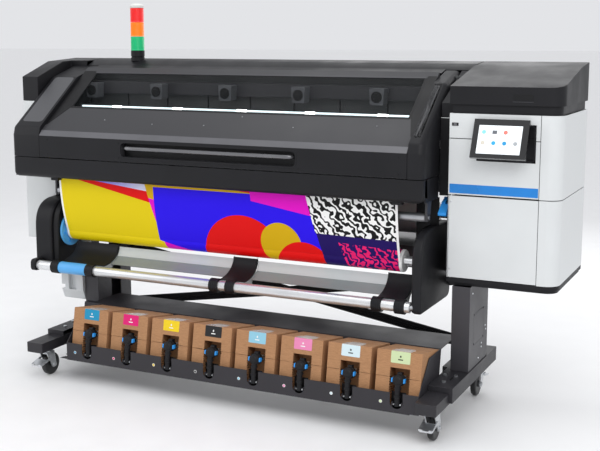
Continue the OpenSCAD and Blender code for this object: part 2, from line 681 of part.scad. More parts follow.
// the upper, hollow line of the ramp from the tube to its top edge
function ramp(t) = let (a = tube_axis + [4, 26], b = arm_top)
    [a[0] + (b[0] - a[0]) * sin(90 * t), a[1] + (b[1] - a[1]) * (1 - cos(90 * t))];
module deflector_arms() {
    top = [for (i = [0:10]) ramp(i / 10)];
    under = [arm_top + [-1, -16], arm_top + [-22, -60], tube_axis + [62, -6], tube_axis + [10, -25]];
    color("black") for (i = [0:2]) difference() {
        union() {
            along_x(blade_x[i][0], blade_x[i][1]) polygon(concat(top, under));
            for (x = [arm_x[i][0], arm_x[i][1] - 42]) rod_x(x, x + 42, tube_axis, tube_r + 8);
        }
        rod_x(arm_x[i][0] - 1, blade_x[i][1] + 20, tube_axis, tube_r + 0.2);
        if (i == 0) rod_x(sleeve_x[0] - 0.2, sleeve_x[1] + 0.2, tube_axis, tube_r + 5.2);
    }
}
module deflector_sheets() {
    line = [for (i = [3:10]) ramp(i / 10) + [3, -9]];
    color("silver") for (i = [0, 1])
        along_x(blade_x[i][1] + 1, blade_x[i + 1][0] - 1)
            polygon(sheet(line, -sheet_t));
}

// ---- inside ----
rail_x1 = width - 24;
module carriage_rail() {
    x0 = plate_x[0] + plate_t;
    color("silver") {
        difference() {
            block([x0, 690, 1040], [rail_x1, 730, 1110]);
            block([x0 - 1, 696, 1046], [rail_x1 + 1, 724, 1104]);
        }
        block([x0, 672, 1058], [rail_x1, 690, 1070]);
    }
    color("dimgray") for (x = [x0 + 20, rail_x1 - 20])
        translate([x, 710, 1110]) cylinder(r = 11, h = 26);
    color("black") for (y = [698, 720])
        block([x0 + 20, y, 1120], [rail_x1 - 20, y + 2, 1130]);
}
bar_y = [505, 517];
module curing_unit() {
    x0 = plate_x[0] + plate_t;
    color("black") {
        block([x0, 600, 1240], [hood_x1 - wall, 640, 1300]);
        for (i = [0:4]) block([297 + 362 * i, 545, 1222], [365 + 362 * i, 600, 1292]);
        for (x = [292, 2010]) {
            block([x, bar_y[0], 1176], [x + 8, 640, 1190]);
            block([x, 602, 1190], [x + 8, 640, 1240]);
        }
    }
    color("white") block([300, bar_y[0], 1176], [2010, bar_y[1], 1188]);
}
carriage_x = [2190, 2500];
module print_carriage() {
    color("dimgray") difference() {
        union() {
            block([carriage_x[0], 456, 950], [carriage_x[1], 625, 1080]);
            block([carriage_x[0] + 20, 620, 1020], [carriage_x[1] - 20, 688, 1080]);
        }
        block([carriage_x[0], 669, 1057], [carriage_x[1], 689, 1071]);
        block([carriage_x[0] + 10, 466, 960], [carriage_x[1] - 10, 610, 1081]);
    }
    color("black") for (i = [0:7]) block([2212 + 34 * i, 472, 938], [2238 + 34 * i, 590, 950]);
}
cutter_x = 2010;
module cross_cutter() {
    color("firebrick") difference() {
        block([cutter_x, 372, 937], [cutter_x + 60, 404, 980]);
        block([cutter_x - 1, 387.5, 949.5], [cutter_x + 61, 396.5, 962.5]);
    }
    color("silver") rod_x(cutter_x + 28, cutter_x + 31, [364, 946], 10);
}
module drive_roller() {
    color("silver") {
        rod_x(plate_x[0] - 8, plate_x[1] + 14, drive_axis, 10);
        rod_x(plate_x[0] + 8, plate_x[1] - 2, drive_axis, drive_r);
    }
}
module pinch_rollers() {
    color("silver") rod_x(plate_x[0] - 2, plate_x[1] + 8, pinch_axis, 5);
    color("black") for (i = [0:7]) difference() {
        rod_x(350 + 210 * i, 410 + 210 * i, pinch_axis, pinch_r);
        rod_x(349 + 210 * i, 411 + 210 * i, pinch_axis, 5);
    }
}
output_x = [plate_x[0] + plate_t + 84, plate_x[1] - 48];
output_r = 17;
module output_roller() {
    color("silver") {
        rod_x(output_x[0] - 4, output_x[1] + 14, output_axis, 8);
        rod_x(output_x[0] + 12, output_x[1] - 2, output_axis, output_r);
    }
}
module load_lever() {
    color("deepskyblue") difference() {
        union() {
            along_x(2103, 2119) polygon([[450, 822], [484, 848], [484, 868], [440, 852]]);
            rod_x(2103, 2119, lever_axis, 12);
            along_x(2103, 2136) polygon(rounded([[385, 806], [420, 800], [452, 824], [444, 852]],
                [9, 12, 4, 6]));
        }
        rod_x(2102, 2120, lever_axis, 6);
    }
    color("silver") rod_x(2103, 2136, lever_axis, 6);
}
module supply_roll() {
    color("silver") rod_x(plate_x[0] - 8, plate_x[1] + 14, supply_axis, 12);
    color("white") difference() {
        rod_x(media_x0, media_x1, supply_axis, supply_r);
        rod_x(media_x0 - 1, media_x1 + 1, supply_axis, 12.2);
    }
    color("black") for (x = [media_x0 - 16, media_x1 + 1]) difference() {
        rod_x(x, x + 15, supply_axis, 60);
        rod_x(x - 1, x + 16, supply_axis, 12.2);
    }
}
// the media's path: up from the supply roll, over the platen and down to the take-up reel
web_bend = drive_r + 0.4;
web_start = drive_axis + [web_bend, 0];
web_end = reel_axis + [-wound_r - 1.5, 4];
web_line = concat(
    [[web_start[0], supply_axis[1] + 10]],
    arc(drive_axis, web_bend, 0, 90, 5),
    arc([325, platen_top - 20], 20.4, 90, 180, 5),
    [for (t = [0.1:0.1:1]) let (from = [304.6, 910])
        [from[0] + (web_end[0] - from[0]) * pow(t, 2.2), from[1] + (web_end[1] - from[1]) * t]]);
module media_web() {
    color("gold") along_x(media_x0, media_x1) polygon(sheet(web_line, -web_t));
}
module waste_bottle() {
    color("lightgray") difference() {
        union() {
            along_x(270, 392) polygon(rounded([[350, 422], [352, 330], [372, 282], [500, 282], [500, 422]],
                [8, 20, 14, 14, 8]));
            translate([330, 470, 420]) cylinder(r = 22, h = 127);
        }
        block([262, 340, 330], [290, 400, 352]);
        block([310, 340, 330], [352, 372, 404]);
    }
}

place() {
    feet();
    foot_covers();
    posts();
    cross_braces();
    stand_bolts();
    supply_tray();
    supply_boxes();
    for (i = [0, 1], j = [0, 1]) {
        tag = str(["f", "r"][j], ["l", "r"][i]);
        caster_fork(caster_x(i), caster_y[j], j == 0 ? 1 : -1);
        caster_wheel(caster_x(i), caster_y[j], j == 0 ? 1 : -1);
    }
    for (i = [1:8]) connector(i);
    main_frame();
    platen();
    rear_cover();
    top_cover();
    left_end_cover();
    left_cap();
    hood_wings();
    lower_fascia();
    front_door();
    door_window();
    door_handle();
    cabinet_shell();
    cabinet_front();
    service_door();
    cabinet_cap();
    cabinet_base();
    screen_mount();
    touch_screen();
    beacon();
    reel_housing_left();
    reel_housing_right();
    reel_spindle();
    take_up_roll();
    deflector_tube();
    deflector_arms();
    deflector_sheets();
    print_carriage();
    carriage_rail();
    cross_cutter();
    curing_unit();
    drive_roller();
    pinch_rollers();
    output_roller();
    load_lever();
    supply_roll();
    media_web();
    waste_bottle();
}
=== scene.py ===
"""Looks of the roll printer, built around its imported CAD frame.

Inside this script x counts from the left end, y from the front of the feet and z from the floor,
in millimetres; at() turns such a point into the frame's own metres.
"""
import math

import bmesh
import bpy
from mathutils import Matrix, Vector


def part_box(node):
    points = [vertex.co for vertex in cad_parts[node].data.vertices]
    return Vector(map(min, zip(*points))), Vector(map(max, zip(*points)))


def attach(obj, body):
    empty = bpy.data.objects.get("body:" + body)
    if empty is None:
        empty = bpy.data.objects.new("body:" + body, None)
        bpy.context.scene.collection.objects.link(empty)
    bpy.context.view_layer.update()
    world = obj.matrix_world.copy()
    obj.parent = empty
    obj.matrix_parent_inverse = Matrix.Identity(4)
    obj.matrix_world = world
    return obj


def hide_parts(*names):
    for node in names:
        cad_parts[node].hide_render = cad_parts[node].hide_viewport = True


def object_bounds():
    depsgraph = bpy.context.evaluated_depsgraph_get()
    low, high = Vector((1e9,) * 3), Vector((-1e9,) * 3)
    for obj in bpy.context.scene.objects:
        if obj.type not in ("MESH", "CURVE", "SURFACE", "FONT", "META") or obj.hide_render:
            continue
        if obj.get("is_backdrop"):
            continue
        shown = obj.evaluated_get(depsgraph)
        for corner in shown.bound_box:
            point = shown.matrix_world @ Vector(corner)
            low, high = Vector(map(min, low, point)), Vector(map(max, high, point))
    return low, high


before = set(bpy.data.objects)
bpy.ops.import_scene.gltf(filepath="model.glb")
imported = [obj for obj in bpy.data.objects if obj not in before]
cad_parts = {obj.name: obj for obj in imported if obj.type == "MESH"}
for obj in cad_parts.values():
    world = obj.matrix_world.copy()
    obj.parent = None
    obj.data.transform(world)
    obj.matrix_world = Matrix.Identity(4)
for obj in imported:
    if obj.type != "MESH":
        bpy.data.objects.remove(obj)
cad_low, cad_high = (Vector(v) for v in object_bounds())
scene = bpy.context.scene


def at(x, y, z):
    return Vector((cad_low.x + x / 1000, cad_low.y + y / 1000, z / 1000))


def span(node):
    """A CAD node's lowest and highest corners in this script's millimetres."""
    low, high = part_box(node)
    return [tuple((v[i] - (cad_low[i] if i < 2 else 0)) * 1000 for i in range(3)) for v in (low, high)]


# ---------------------------------------------------------------- camera, lights and floor
def make_camera():
    data = bpy.data.cameras.new("camera")
    data.lens = 62.4
    data.sensor_width = 36
    data.shift_y = -0.04
    cam = bpy.data.objects.new("camera", data)
    cam.location = at(3373, -3488, 1488)
    cam.rotation_euler = (math.radians(90 - 8.79), 0, math.radians(25.75))
    scene.collection.objects.link(cam)
    scene.camera = cam


def area_light(name, place, target, size, watts):
    data = bpy.data.lights.new(name, "AREA")
    data.shape = "RECTANGLE"
    data.size, data.size_y = size
    data.energy = watts
    lamp = bpy.data.objects.new(name, data)
    lamp.location = at(*place)
    lamp.rotation_euler = (at(*target) - lamp.location).to_track_quat("-Z", "Y").to_euler()
    scene.collection.objects.link(lamp)


def make_stage():
    world = bpy.data.worlds.new("studio")
    world.use_nodes = True
    world.node_tree.nodes["Background"].inputs[0].default_value = (0.96, 0.97, 1, 1)
    world.node_tree.nodes["Background"].inputs[1].default_value = 0.80
    scene.world = world
    scene.view_settings.view_transform = "Standard"
    area_light("key", (3600, -2600, 3600), (1300, 400, 700), (3.0, 2.0), 62)
    area_light("top", (1000, 300, 3900), (1300, 450, 1300), (3.6, 1.6), 26)
    area_light("left_fill", (-2200, -1500, 2200), (900, 400, 800), (2.4, 2.4), 20)
    area_light("back_fill", (1500, 4200, 2600), (1300, 600, 900), (3.5, 2.0), 36)
    bpy.ops.mesh.primitive_plane_add(size=300)
    floor = bpy.context.object
    floor.name = "studio_floor"
    paint = surface("floor_paint", (0.93, 0.93, 0.93), 0.7, grain=30, strength=0.02, vary=0.01)
    floor.data.materials.append(paint)
    floor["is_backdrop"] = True


# ---------------------------------------------------------------- materials
def shader(name):
    mat = bpy.data.materials.new(name)
    mat.use_nodes = True
    tree = mat.node_tree
    bsdf = tree.nodes["Principled BSDF"]
    coord = tree.nodes.new("ShaderNodeTexCoord")
    return mat, tree, bsdf, coord.outputs["Object"]


def noise(tree, vector, scale, detail=3, stretch=None):
    if stretch:
        mapping = tree.nodes.new("ShaderNodeMapping")
        mapping.inputs["Scale"].default_value = stretch
        tree.links.new(vector, mapping.inputs[0])
        vector = mapping.outputs[0]
    tex = tree.nodes.new("ShaderNodeTexNoise")
    tex.inputs["Scale"].default_value = scale
    tex.inputs["Detail"].default_value = detail
    tree.links.new(vector, tex.inputs["Vector"])
    return tex.outputs["Fac"]


def remap(tree, value, low, high, start=0.3, stop=0.7):
    node = tree.nodes.new("ShaderNodeMapRange")
    for name, number in (("From Min", start), ("From Max", stop), ("To Min", low), ("To Max", high)):
        node.inputs[name].default_value = number
    tree.links.new(value, node.inputs["Value"])
    return node.outputs["Result"]


def blend_colours(tree, factor, first, second):
    node = tree.nodes.new("ShaderNodeMix")
    node.data_type = "RGBA"
    for socket, value in ((node.inputs[6], first), (node.inputs[7], second)):
        if isinstance(value, tuple):
            socket.default_value = (*value[:3], 1)
        else:
            tree.links.new(value, socket)
    if isinstance(factor, float):
        node.inputs[0].default_value = factor
    else:
        tree.links.new(factor, node.inputs[0])
    return node.outputs[2]


def bump(tree, bsdf, height, strength, distance=0.0005):
    node = tree.nodes.new("ShaderNodeBump")
    node.inputs["Strength"].default_value = strength
    node.inputs["Distance"].default_value = distance
    tree.links.new(height, node.inputs["Height"])
    tree.links.new(node.outputs[0], bsdf.inputs["Normal"])


def shade(colour, factor):
    return tuple(min(1.0, c * factor) for c in colour[:3])


def surface(name, colour, rough, metal=0.0, grain=900, vary=0.08, coat=0.0, stretch=None,
            strength=0.12, clear=1.0, glow=0.0, shine=0.5):
    """Paint, moulded plastic, rubber or metal: fine grain in the bump, slow drift in colour and gloss."""
    mat, tree, bsdf, coord = shader(name)
    fine = noise(tree, coord, grain, 2, stretch)
    drift = noise(tree, coord, 7, 4)
    tree.links.new(blend_colours(tree, remap(tree, drift, 0, 1), shade(colour, 1 - vary),
                                 shade(colour, 1 + vary)), bsdf.inputs["Base Color"])
    tree.links.new(remap(tree, fine if stretch else drift, rough * 0.85, min(1, rough * 1.15)),
                   bsdf.inputs["Roughness"])
    bsdf.inputs["Metallic"].default_value = metal
    bsdf.inputs["Coat Weight"].default_value = coat
    bsdf.inputs["Alpha"].default_value = clear
    if glow:
        bsdf.inputs["Emission Color"].default_value = (*colour, 1)
        bsdf.inputs["Emission Strength"].default_value = glow
    bsdf.inputs["Specular IOR Level"].default_value = shine
    bump(tree, bsdf, fine, strength)
    return mat


def cardboard():
    """Kraft board: long fibres, flecks and the faint flutes of the corrugation."""
    mat, tree, bsdf, coord = shader("kraft_cardboard")
    fibre = noise(tree, coord, 60, 6, (1, 1, 6))
    fleck = noise(tree, coord, 420, 4)
    flute = tree.nodes.new("ShaderNodeTexWave")
    flute.inputs["Scale"].default_value = 60
    flute.inputs["Distortion"].default_value = 0.6
    tree.links.new(coord, flute.inputs["Vector"])
    base = blend_colours(tree, remap(tree, fibre, 0, 1), (0.37, 0.185, 0.085), (0.47, 0.245, 0.115))
    base = blend_colours(tree, remap(tree, fleck, 0, 0.6, 0.58, 0.75), base, (0.22, 0.10, 0.04))
    tree.links.new(base, bsdf.inputs["Base Color"])
    bsdf.inputs["Roughness"].default_value = 0.82
    bump(tree, bsdf, flute.outputs["Fac"], 0.12, 0.0006)
    return mat


def calc(tree, how, a, b=0.0):
    node = tree.nodes.new("ShaderNodeMath")
    node.operation = how
    for socket, value in ((node.inputs[0], a), (node.inputs[1], b)):
        if isinstance(value, (int, float)):
            socket.default_value = value
        else:
            tree.links.new(value, socket)
    return node.outputs[0]


def artwork(left, right, low, high):
    """A generic poster of flat colour fields: discs, slanted bands and two fields of wavy stripes."""
    mat, tree, bsdf, coord = shader("printed_media")
    parts = tree.nodes.new("ShaderNodeSeparateXYZ")
    tree.links.new(coord, parts.inputs[0])
    across = calc(tree, "DIVIDE", calc(tree, "SUBTRACT", parts.outputs[0], left), right - left)
    up = calc(tree, "DIVIDE", calc(tree, "SUBTRACT", parts.outputs[2], low), high - low)
    ratio = (right - left) / (high - low)

    def disc(cx, cy, r):
        dx = calc(tree, "MULTIPLY", calc(tree, "SUBTRACT", across, cx), ratio)
        dy = calc(tree, "SUBTRACT", up, cy)
        far = calc(tree, "ADD", calc(tree, "MULTIPLY", dx, dx), calc(tree, "MULTIPLY", dy, dy))
        return calc(tree, "LESS_THAN", far, r * r)

    def beyond(value, along, start, stop):
        """Where value passes the line that goes from start to stop as along goes from 0 to 1."""
        line = calc(tree, "ADD", calc(tree, "MULTIPLY", along, stop - start), start)
        return calc(tree, "GREATER_THAN", value, line)

    def above(start, stop):
        return beyond(up, across, start, stop)

    def right_of(foot, head):
        return beyond(across, up, foot, head)

    def both(a, b):
        return calc(tree, "MULTIPLY", a, b)

    def without(a, b):
        return both(a, calc(tree, "SUBTRACT", 1.0, b))

    def stripes(scale, ink, ground):
        wave = tree.nodes.new("ShaderNodeTexWave")
        wave.bands_direction = "DIAGONAL"
        wave.inputs["Scale"].default_value = scale
        wave.inputs["Distortion"].default_value = 9
        wave.inputs["Detail"].default_value = 1
        wave.inputs["Detail Scale"].default_value = 2.2
        tree.links.new(coord, wave.inputs["Vector"])
        return blend_colours(tree, calc(tree, "GREATER_THAN", wave.outputs["Fac"], 0.5), ground, ink)

    yellow, gold, red, pink = (0.80, 0.62, 0.0), (0.68, 0.42, 0.0), (0.78, 0.0, 0.0), (0.85, 0.01, 0.16)
    magenta, purple, blue = (0.80, 0.0, 0.58), (0.09, 0.0, 0.24), (0.02, 0.0, 0.85)
    navy, black, white = (0.01, 0.0, 0.11), (0.004, 0.004, 0.004), (0.93, 0.93, 0.92)
    sky = blend_colours(tree, remap(tree, across, 0, 1, 0.10, 0.27), blue, (0.72, 0.72, 0.92))
    past_third = right_of(0.33, 0.28)
    fields = [
        (above(1.0, -0.10), red),
        (above(1.0, 0.42), sky),
        (both(above(0.92, 2.9), right_of(-0.2, -0.2)), purple),
        (past_third, magenta),
        (both(past_third, above(1.02, 0.06)), gold),
        (both(past_third, above(1.20, 0.72)), red),
        (both(right_of(0.31, 0.31), without(above(0.52, -0.72), above(0.9, 0.9))), blue),
        (disc(0.57, -0.02, 0.62), red),
        (both(right_of(0.62, 0.60), above(1.32, 0.47)), magenta),
        (disc(0.68, 0.24, 0.30), gold),
        (disc(0.74, -0.12, 0.42), red),
        (right_of(0.80, 0.76), navy),
        (both(right_of(0.80, 0.755), above(0.52, 0.42)), stripes(15, white, black)),
        (both(right_of(0.86, 0.80), without(above(-0.9, -0.9), above(0.55, 0.30))), stripes(17, pink, navy)),
        (disc(0.795, -0.10, 0.12), black)]
    paint = yellow
    for mask, colour in fields:
        paint = blend_colours(tree, mask, paint, colour)
    margin, front_web = 0.006, cad_low.y + 0.47
    inside = both(calc(tree, "GREATER_THAN", across, margin), calc(tree, "LESS_THAN", across, 1 - margin))
    printed = both(inside, calc(tree, "LESS_THAN", parts.outputs[1], front_web))
    tree.links.new(blend_colours(tree, printed, white, paint), bsdf.inputs["Base Color"])
    bsdf.inputs["Roughness"].default_value = 0.5
    bsdf.inputs["Specular IOR Level"].default_value = 0.2
    bump(tree, bsdf, noise(tree, coord, 500, 2), 0.05)
    return mat


def seen_through(name, colour, rough, alpha, shine=0.5):
    """Clear or smoked plastic, with a slow smear in its colour and gloss."""
    mat, tree, bsdf, coord = shader(name)
    smear = noise(tree, coord, 9, 3)
    tree.links.new(blend_colours(tree, remap(tree, smear, 0, 1), shade(colour, 0.94), shade(colour, 1.06)),
                   bsdf.inputs["Base Color"])
    tree.links.new(remap(tree, smear, rough * 0.8, rough * 1.3), bsdf.inputs["Roughness"])
    bsdf.inputs["Alpha"].default_value = alpha
    bsdf.inputs["IOR"].default_value = 1.5
    bsdf.inputs["Specular IOR Level"].default_value = shine
    return mat


MAT = {
    "white": surface("white_powder_coat", (0.70, 0.72, 0.722), 0.38, grain=1400, strength=0.05, vary=0.02),
    "black": surface("black_moulding", (0.012, 0.012, 0.014), 0.46, grain=1600, strength=0.10, vary=0.10,
                     shine=0.22),
    "deep": surface("deep_black", (0.005, 0.005, 0.006), 0.5, grain=1200, strength=0.10, shine=0.3),
    "grey": surface("grey_moulding", (0.040, 0.040, 0.045), 0.42, grain=1500, strength=0.10, shine=0.4),
    "panel": surface("hood_panel", (0.042, 0.042, 0.046), 0.46, grain=1500, vary=0.05, shine=0.35),
    "wing": surface("wing_panel", (0.075, 0.076, 0.082), 0.4, grain=1500, strength=0.1, vary=0.05),
    "blower": surface("blower_housing", (0.10, 0.105, 0.115), 0.5, grain=700, strength=0.1, vary=0.1),
    "pale_grey": surface("arm_grey", (0.36, 0.40, 0.41), 0.42, grain=1300, strength=0.06),
    "stand": surface("stand_powder_coat", (0.026, 0.025, 0.029), 0.44, grain=700, strength=0.22, shine=0.35),
    "stand_side": surface("post_powder_coat", (0.048, 0.046, 0.052), 0.42, grain=700, strength=0.22,
                          shine=0.4),
    "steel": surface("frame_steel", (0.42, 0.43, 0.45), 0.42, metal=0.9, grain=300, stretch=(1, 1, 14)),
    "tube": surface("anodised_tube", (0.74, 0.75, 0.76), 0.30, metal=0.75, grain=260, stretch=(40, 1, 1),
                    strength=0.04),
    "zinc": surface("zinc_plate", (0.62, 0.64, 0.66), 0.30, metal=0.95, grain=90, strength=0.05, vary=0.12),
    "rubber": surface("black_rubber", (0.016, 0.016, 0.017), 0.62, grain=500, strength=0.2),
    "wheel": surface("caster_tread", (0.012, 0.012, 0.013), 0.38, grain=600, strength=0.1),
    "card": cardboard(),
    # Lighter grey for the door's lower rim: a painted highlight on the bevel.
    "bevel_painted_highlight": surface("hood_rim_painted_highlight", (0.11, 0.11, 0.12), 0.32, strength=0.05),
    "blue": surface("blue_plastic", (0.03, 0.33, 0.86), 0.36, grain=1000, strength=0.06, vary=0.04),
    "hub": surface("light_blue_plastic", (0.10, 0.42, 0.84), 0.36, grain=1000, strength=0.06, vary=0.05),
    "stripe": surface("blue_stripe", (0.008, 0.22, 0.66), 0.3, grain=1500, strength=0.02, vary=0.12),
    "sheet": surface("deflector_white", (0.58, 0.61, 0.61), 0.34, strength=0.04, vary=0.03),
    # The white sheet's darker copy for its lower curve: painted shade.
    "sheet_painted_shade": surface("deflector_white_painted_shade", (0.27, 0.30, 0.30), 0.34, strength=0.04, vary=0.04),
    "paper": surface("plain_media", (0.86, 0.86, 0.84), 0.5, grain=700, strength=0.05, vary=0.02),
    "bottle": surface("bottle_plastic", (0.70, 0.72, 0.73), 0.32, grain=200, strength=0.05, vary=0.04),
    "tray": surface("tray_powder_coat", (0.030, 0.028, 0.033), 0.46, grain=800, strength=0.2, shine=0.35),
    "light": surface("lamp_white", (0.80, 0.95, 1.0), 0.4, glow=1.7, grain=40, strength=0.0),
    "glint": surface("lamp_spot", (1.0, 1.0, 1.0), 0.4, glow=9.0, grain=40, strength=0.0),
    "inner": surface("inner_wall", (0.065, 0.068, 0.07), 0.5, grain=300, strength=0.15, vary=0.2),
    "glass": seen_through("smoked_glass", (0.012, 0.014, 0.015), 0.12, 0.16, shine=0.06),
    "tape": seen_through("clear_tape", (0.84, 0.82, 0.78), 0.25, 0.5),
    "bezel": surface("screen_bezel", (0.008, 0.008, 0.009), 0.12, grain=40, strength=0.0, coat=0.6),
    "display": surface("lit_display", (0.82, 0.86, 0.88), 0.25, glow=0.35, grain=30, strength=0.0, vary=0.05),
    "gloss": surface("gloss_black_bar", (0.16, 0.16, 0.17), 0.24, metal=0.6, grain=400, strength=0.03,
                     coat=0.6),
    "red": surface("red_carriage", (0.30, 0.02, 0.02), 0.4),
}


def tint(name, colour, rough=0.4, glow=0.0):
    if name not in MAT:
        MAT[name] = surface(name, colour, rough, grain=900, strength=0.05, vary=0.04, glow=glow)
    return MAT[name]


def round_edges(obj, edge, segments, limit):
    """Rounds the edges that turn by more than limit degrees, edge mm wide, with modifiers only."""
    bevel = obj.modifiers.new("edge", "BEVEL")
    bevel.width = edge / 1000
    bevel.segments = segments
    bevel.limit_method = "ANGLE"
    bevel.angle_limit = math.radians(limit)
    obj.modifiers.new("normals", "WEIGHTED_NORMAL")


def dress_all(looks):
    """looks is (node, material, edge) for each of a group of CAD nodes."""
    for node, mat, edge in looks:
        dress(node, MAT[mat], edge)


def dress(node, material, edge=0.0):
    """Gives a CAD node its material, and rounds its edges."""
    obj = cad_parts[node]
    for spot in obj.material_slots:
        spot.material = material
    if not obj.material_slots:
        obj.data.materials.append(material)
    if edge:
        weld = obj.modifiers.new("weld", "WELD")
        weld.merge_threshold = 0.00002
        round_edges(obj, edge, 3, 40)


# ---------------------------------------------------------------- mesh helpers
def finish_piece(name, bm, material, body, edge=0.0, slot="black_moulding", place=None, segments=3):
    """Turns a bmesh in this script's millimetres into a piece that rides a body."""
    if place:
        bmesh.ops.transform(bm, matrix=place, verts=bm.verts)
    to_frame = Matrix.Translation((cad_low.x, cad_low.y, 0)) @ Matrix.Scale(0.001, 4)
    bmesh.ops.transform(bm, matrix=to_frame, verts=bm.verts)
    bmesh.ops.recalc_face_normals(bm, faces=bm.faces)
    mesh = bpy.data.meshes.new(name)
    bm.to_mesh(mesh)
    bm.free()
    smooth_limit = 38
    mesh.polygons.foreach_set("use_smooth", [True] * len(mesh.polygons))
    mesh.set_sharp_from_angle(angle=math.radians(smooth_limit))
    obj = bpy.data.objects.new(name, mesh)
    scene.collection.objects.link(obj)
    mesh.materials.append(material)
    if edge:
        round_edges(obj, edge, segments, smooth_limit)
    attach(obj, body)
    return obj


AXES = {"x": lambda t, p: (t, p[0], p[1]),
        "y": lambda t, p: (p[0], t, p[1]),
        "z": lambda t, p: (p[0], p[1], t)}


def circle(r, steps):
    turns = (2 * math.pi * k / steps for k in range(steps))
    return [(r * math.cos(a), r * math.sin(a)) for a in turns]


def join_rings(bm, rings, looped=False):
    """Rings of points, each with as many points as the next, joined by quads.

    The two end rings are capped, or joined to each other when looped.
    """
    rows = [[bm.verts.new(p) for p in ring] for ring in rings]
    count = len(rows[0])
    for a, b in zip(rows, rows[1:] + (rows[:1] if looped else [])):
        for i in range(count):
            j = (i + 1) % count
            bm.faces.new((a[i], a[j], b[j], b[i]))
    if not looped:
        bm.faces.new(rows[0])
        bm.faces.new(rows[-1])


def loft(name, rings, material, body="root", looped=False, **more):
    bm = bmesh.new()
    join_rings(bm, rings, looped)
    return finish_piece(name, bm, material, body, **more)


def prism(name, axis, outline, low, high, material, body="root", edge=1.0, **more):
    return loft(name, [[AXES[axis](t, p) for p in outline] for t in (low, high)], material, body,
                edge=edge, **more)


def slab(name, a, b, material, body="root", edge=1.0, **more):
    outline = [(a[0], a[1]), (b[0], a[1]), (b[0], b[1]), (a[0], b[1])]
    return prism(name, "z", outline, a[2], b[2], material, body, edge, **more)


def lathe(name, axis, centre, profile, material, body="root", steps=40, **more):
    """profile is (place along the axis, radius) from one end to the other."""
    rings = [[AXES[axis](t, (centre[0] + u, centre[1] + v)) for u, v in circle(r, steps)] for t, r in profile]
    return loft(name, rings, material, body, **more)


def rod(name, axis, centre, low, high, r, material, body="root", lip=1.0, **more):
    """A round bar with its end edges softened by lip."""
    lip = min(lip, r * 0.4, (high - low) * 0.4)
    profile = [(low, r - lip), (low + lip * 0.3, r - lip * 0.3), (low + lip, r),
               (high - lip, r), (high - lip * 0.3, r - lip * 0.3), (high, r - lip)]
    return lathe(name, axis, centre, profile, material, body, **more)


def pipe(name, points, r, material, body="root", steps=16, **more):
    """A round bar along points; its section stays square to the path."""
    path = [Vector(p) for p in points]
    rings = []
    for i, p in enumerate(path):
        ahead = (path[min(i + 1, len(path) - 1)] - path[max(i - 1, 0)]).normalized()
        side = ahead.cross(Vector((0, 0, 1)))
        side = Vector((1, 0, 0)) if side.length < 0.05 else side.normalized()
        up = side.cross(ahead)
        rings.append([p + r * (side * u + up * v) for u, v in circle(1, steps)])
    return loft(name, rings, material, body, **more)


def smooth_path(points, per=6):
    """A Catmull-Rom curve through the points."""
    pts = [Vector(p) for p in points]
    pts = [2 * pts[0] - pts[1]] + pts + [2 * pts[-1] - pts[-2]]
    out = []
    for a, b, c, d in zip(pts, pts[1:], pts[2:], pts[3:]):
        for k in range(per):
            t = k / per
            out.append(0.5 * ((2 * b) + (c - a) * t + (2 * a - 5 * b + 4 * c - d) * t * t
                              + (3 * b - a - 3 * c + d) * t ** 3))
    return out + [pts[-2]]


def rounded(points, radii, steps=6):
    """A closed outline with its corners rounded."""
    out = []
    for i, p in enumerate(points):
        p, a, b = Vector(p), Vector(points[i - 1]), Vector(points[(i + 1) % len(points)])
        r = radii[i] if isinstance(radii, (list, tuple)) else radii
        if not r:
            out.append(tuple(p))
            continue
        u, v = (a - p).normalized(), (b - p).normalized()
        half = u.angle(v) / 2
        start, stop = p + u * r / math.tan(half), p + v * r / math.tan(half)
        for k in range(steps + 1):
            t = k / steps
            out.append(tuple((1 - t) ** 2 * start + 2 * t * (1 - t) * p + t * t * stop))
    return out


def box_outline(x0, z0, x1, z1, r=0):
    corners = [(x0, z0), (x1, z0), (x1, z1), (x0, z1)]
    return rounded(corners, r) if r else corners


def inset_line(line, d):
    """An open outline moved by d towards its right-hand side, with mitred corners."""
    pts = [Vector(p) for p in line]
    out = []
    for i, p in enumerate(pts):
        a = (p - pts[i - 1]).normalized() if i else (pts[1] - p).normalized()
        b = (pts[i + 1] - p).normalized() if i < len(pts) - 1 else a
        m = Vector((a.y, -a.x)) + Vector((b.y, -b.x))
        out.append(p + m * (2 * d / m.length_squared))
    return out


def end_rounded(name, line, back, x0, x1, r0, r1, material, fix, **more):
    """A cover whose outer line (y, z) runs along x, drawn in at its ends with radius r0 and r1.

    fix takes each drawn-in point and the point it came from, and puts it where the cover ends.
    """
    def corner(x, r, way):
        """Places along x from the end inwards, each with how far the line is drawn in there."""
        turns = [math.radians(15 * k) for k in range(7)] if r else [0]
        return [(x + way * r * (1 - math.cos(a)), r * (1 - math.sin(a))) for a in turns]

    rings = []
    for x, depth in corner(x0, r0, 1) + corner(x1, r1, -1)[::-1]:
        moved = [fix(p, Vector(q)) for p, q in zip(inset_line(line, depth), line)]
        rings.append([(x, p[0], p[1]) for p in moved + back])
    return loft(name, rings, material, **more)


def screws(name, places, axis, r, material, body="root"):
    """Small pan-head screws, one piece for the group; each place has its point and its way out."""
    bm = bmesh.new()
    profile = [(0, r), (0.5 * r, r * 0.92), (0.75 * r, r * 0.55)]
    for point, out in places:
        join_rings(bm, [[Vector(point) + Vector(AXES[axis](t * out, p)) for p in circle(wide, 12)]
                        for t, wide in profile])
    return finish_piece(name, bm, material, body, slot=None)


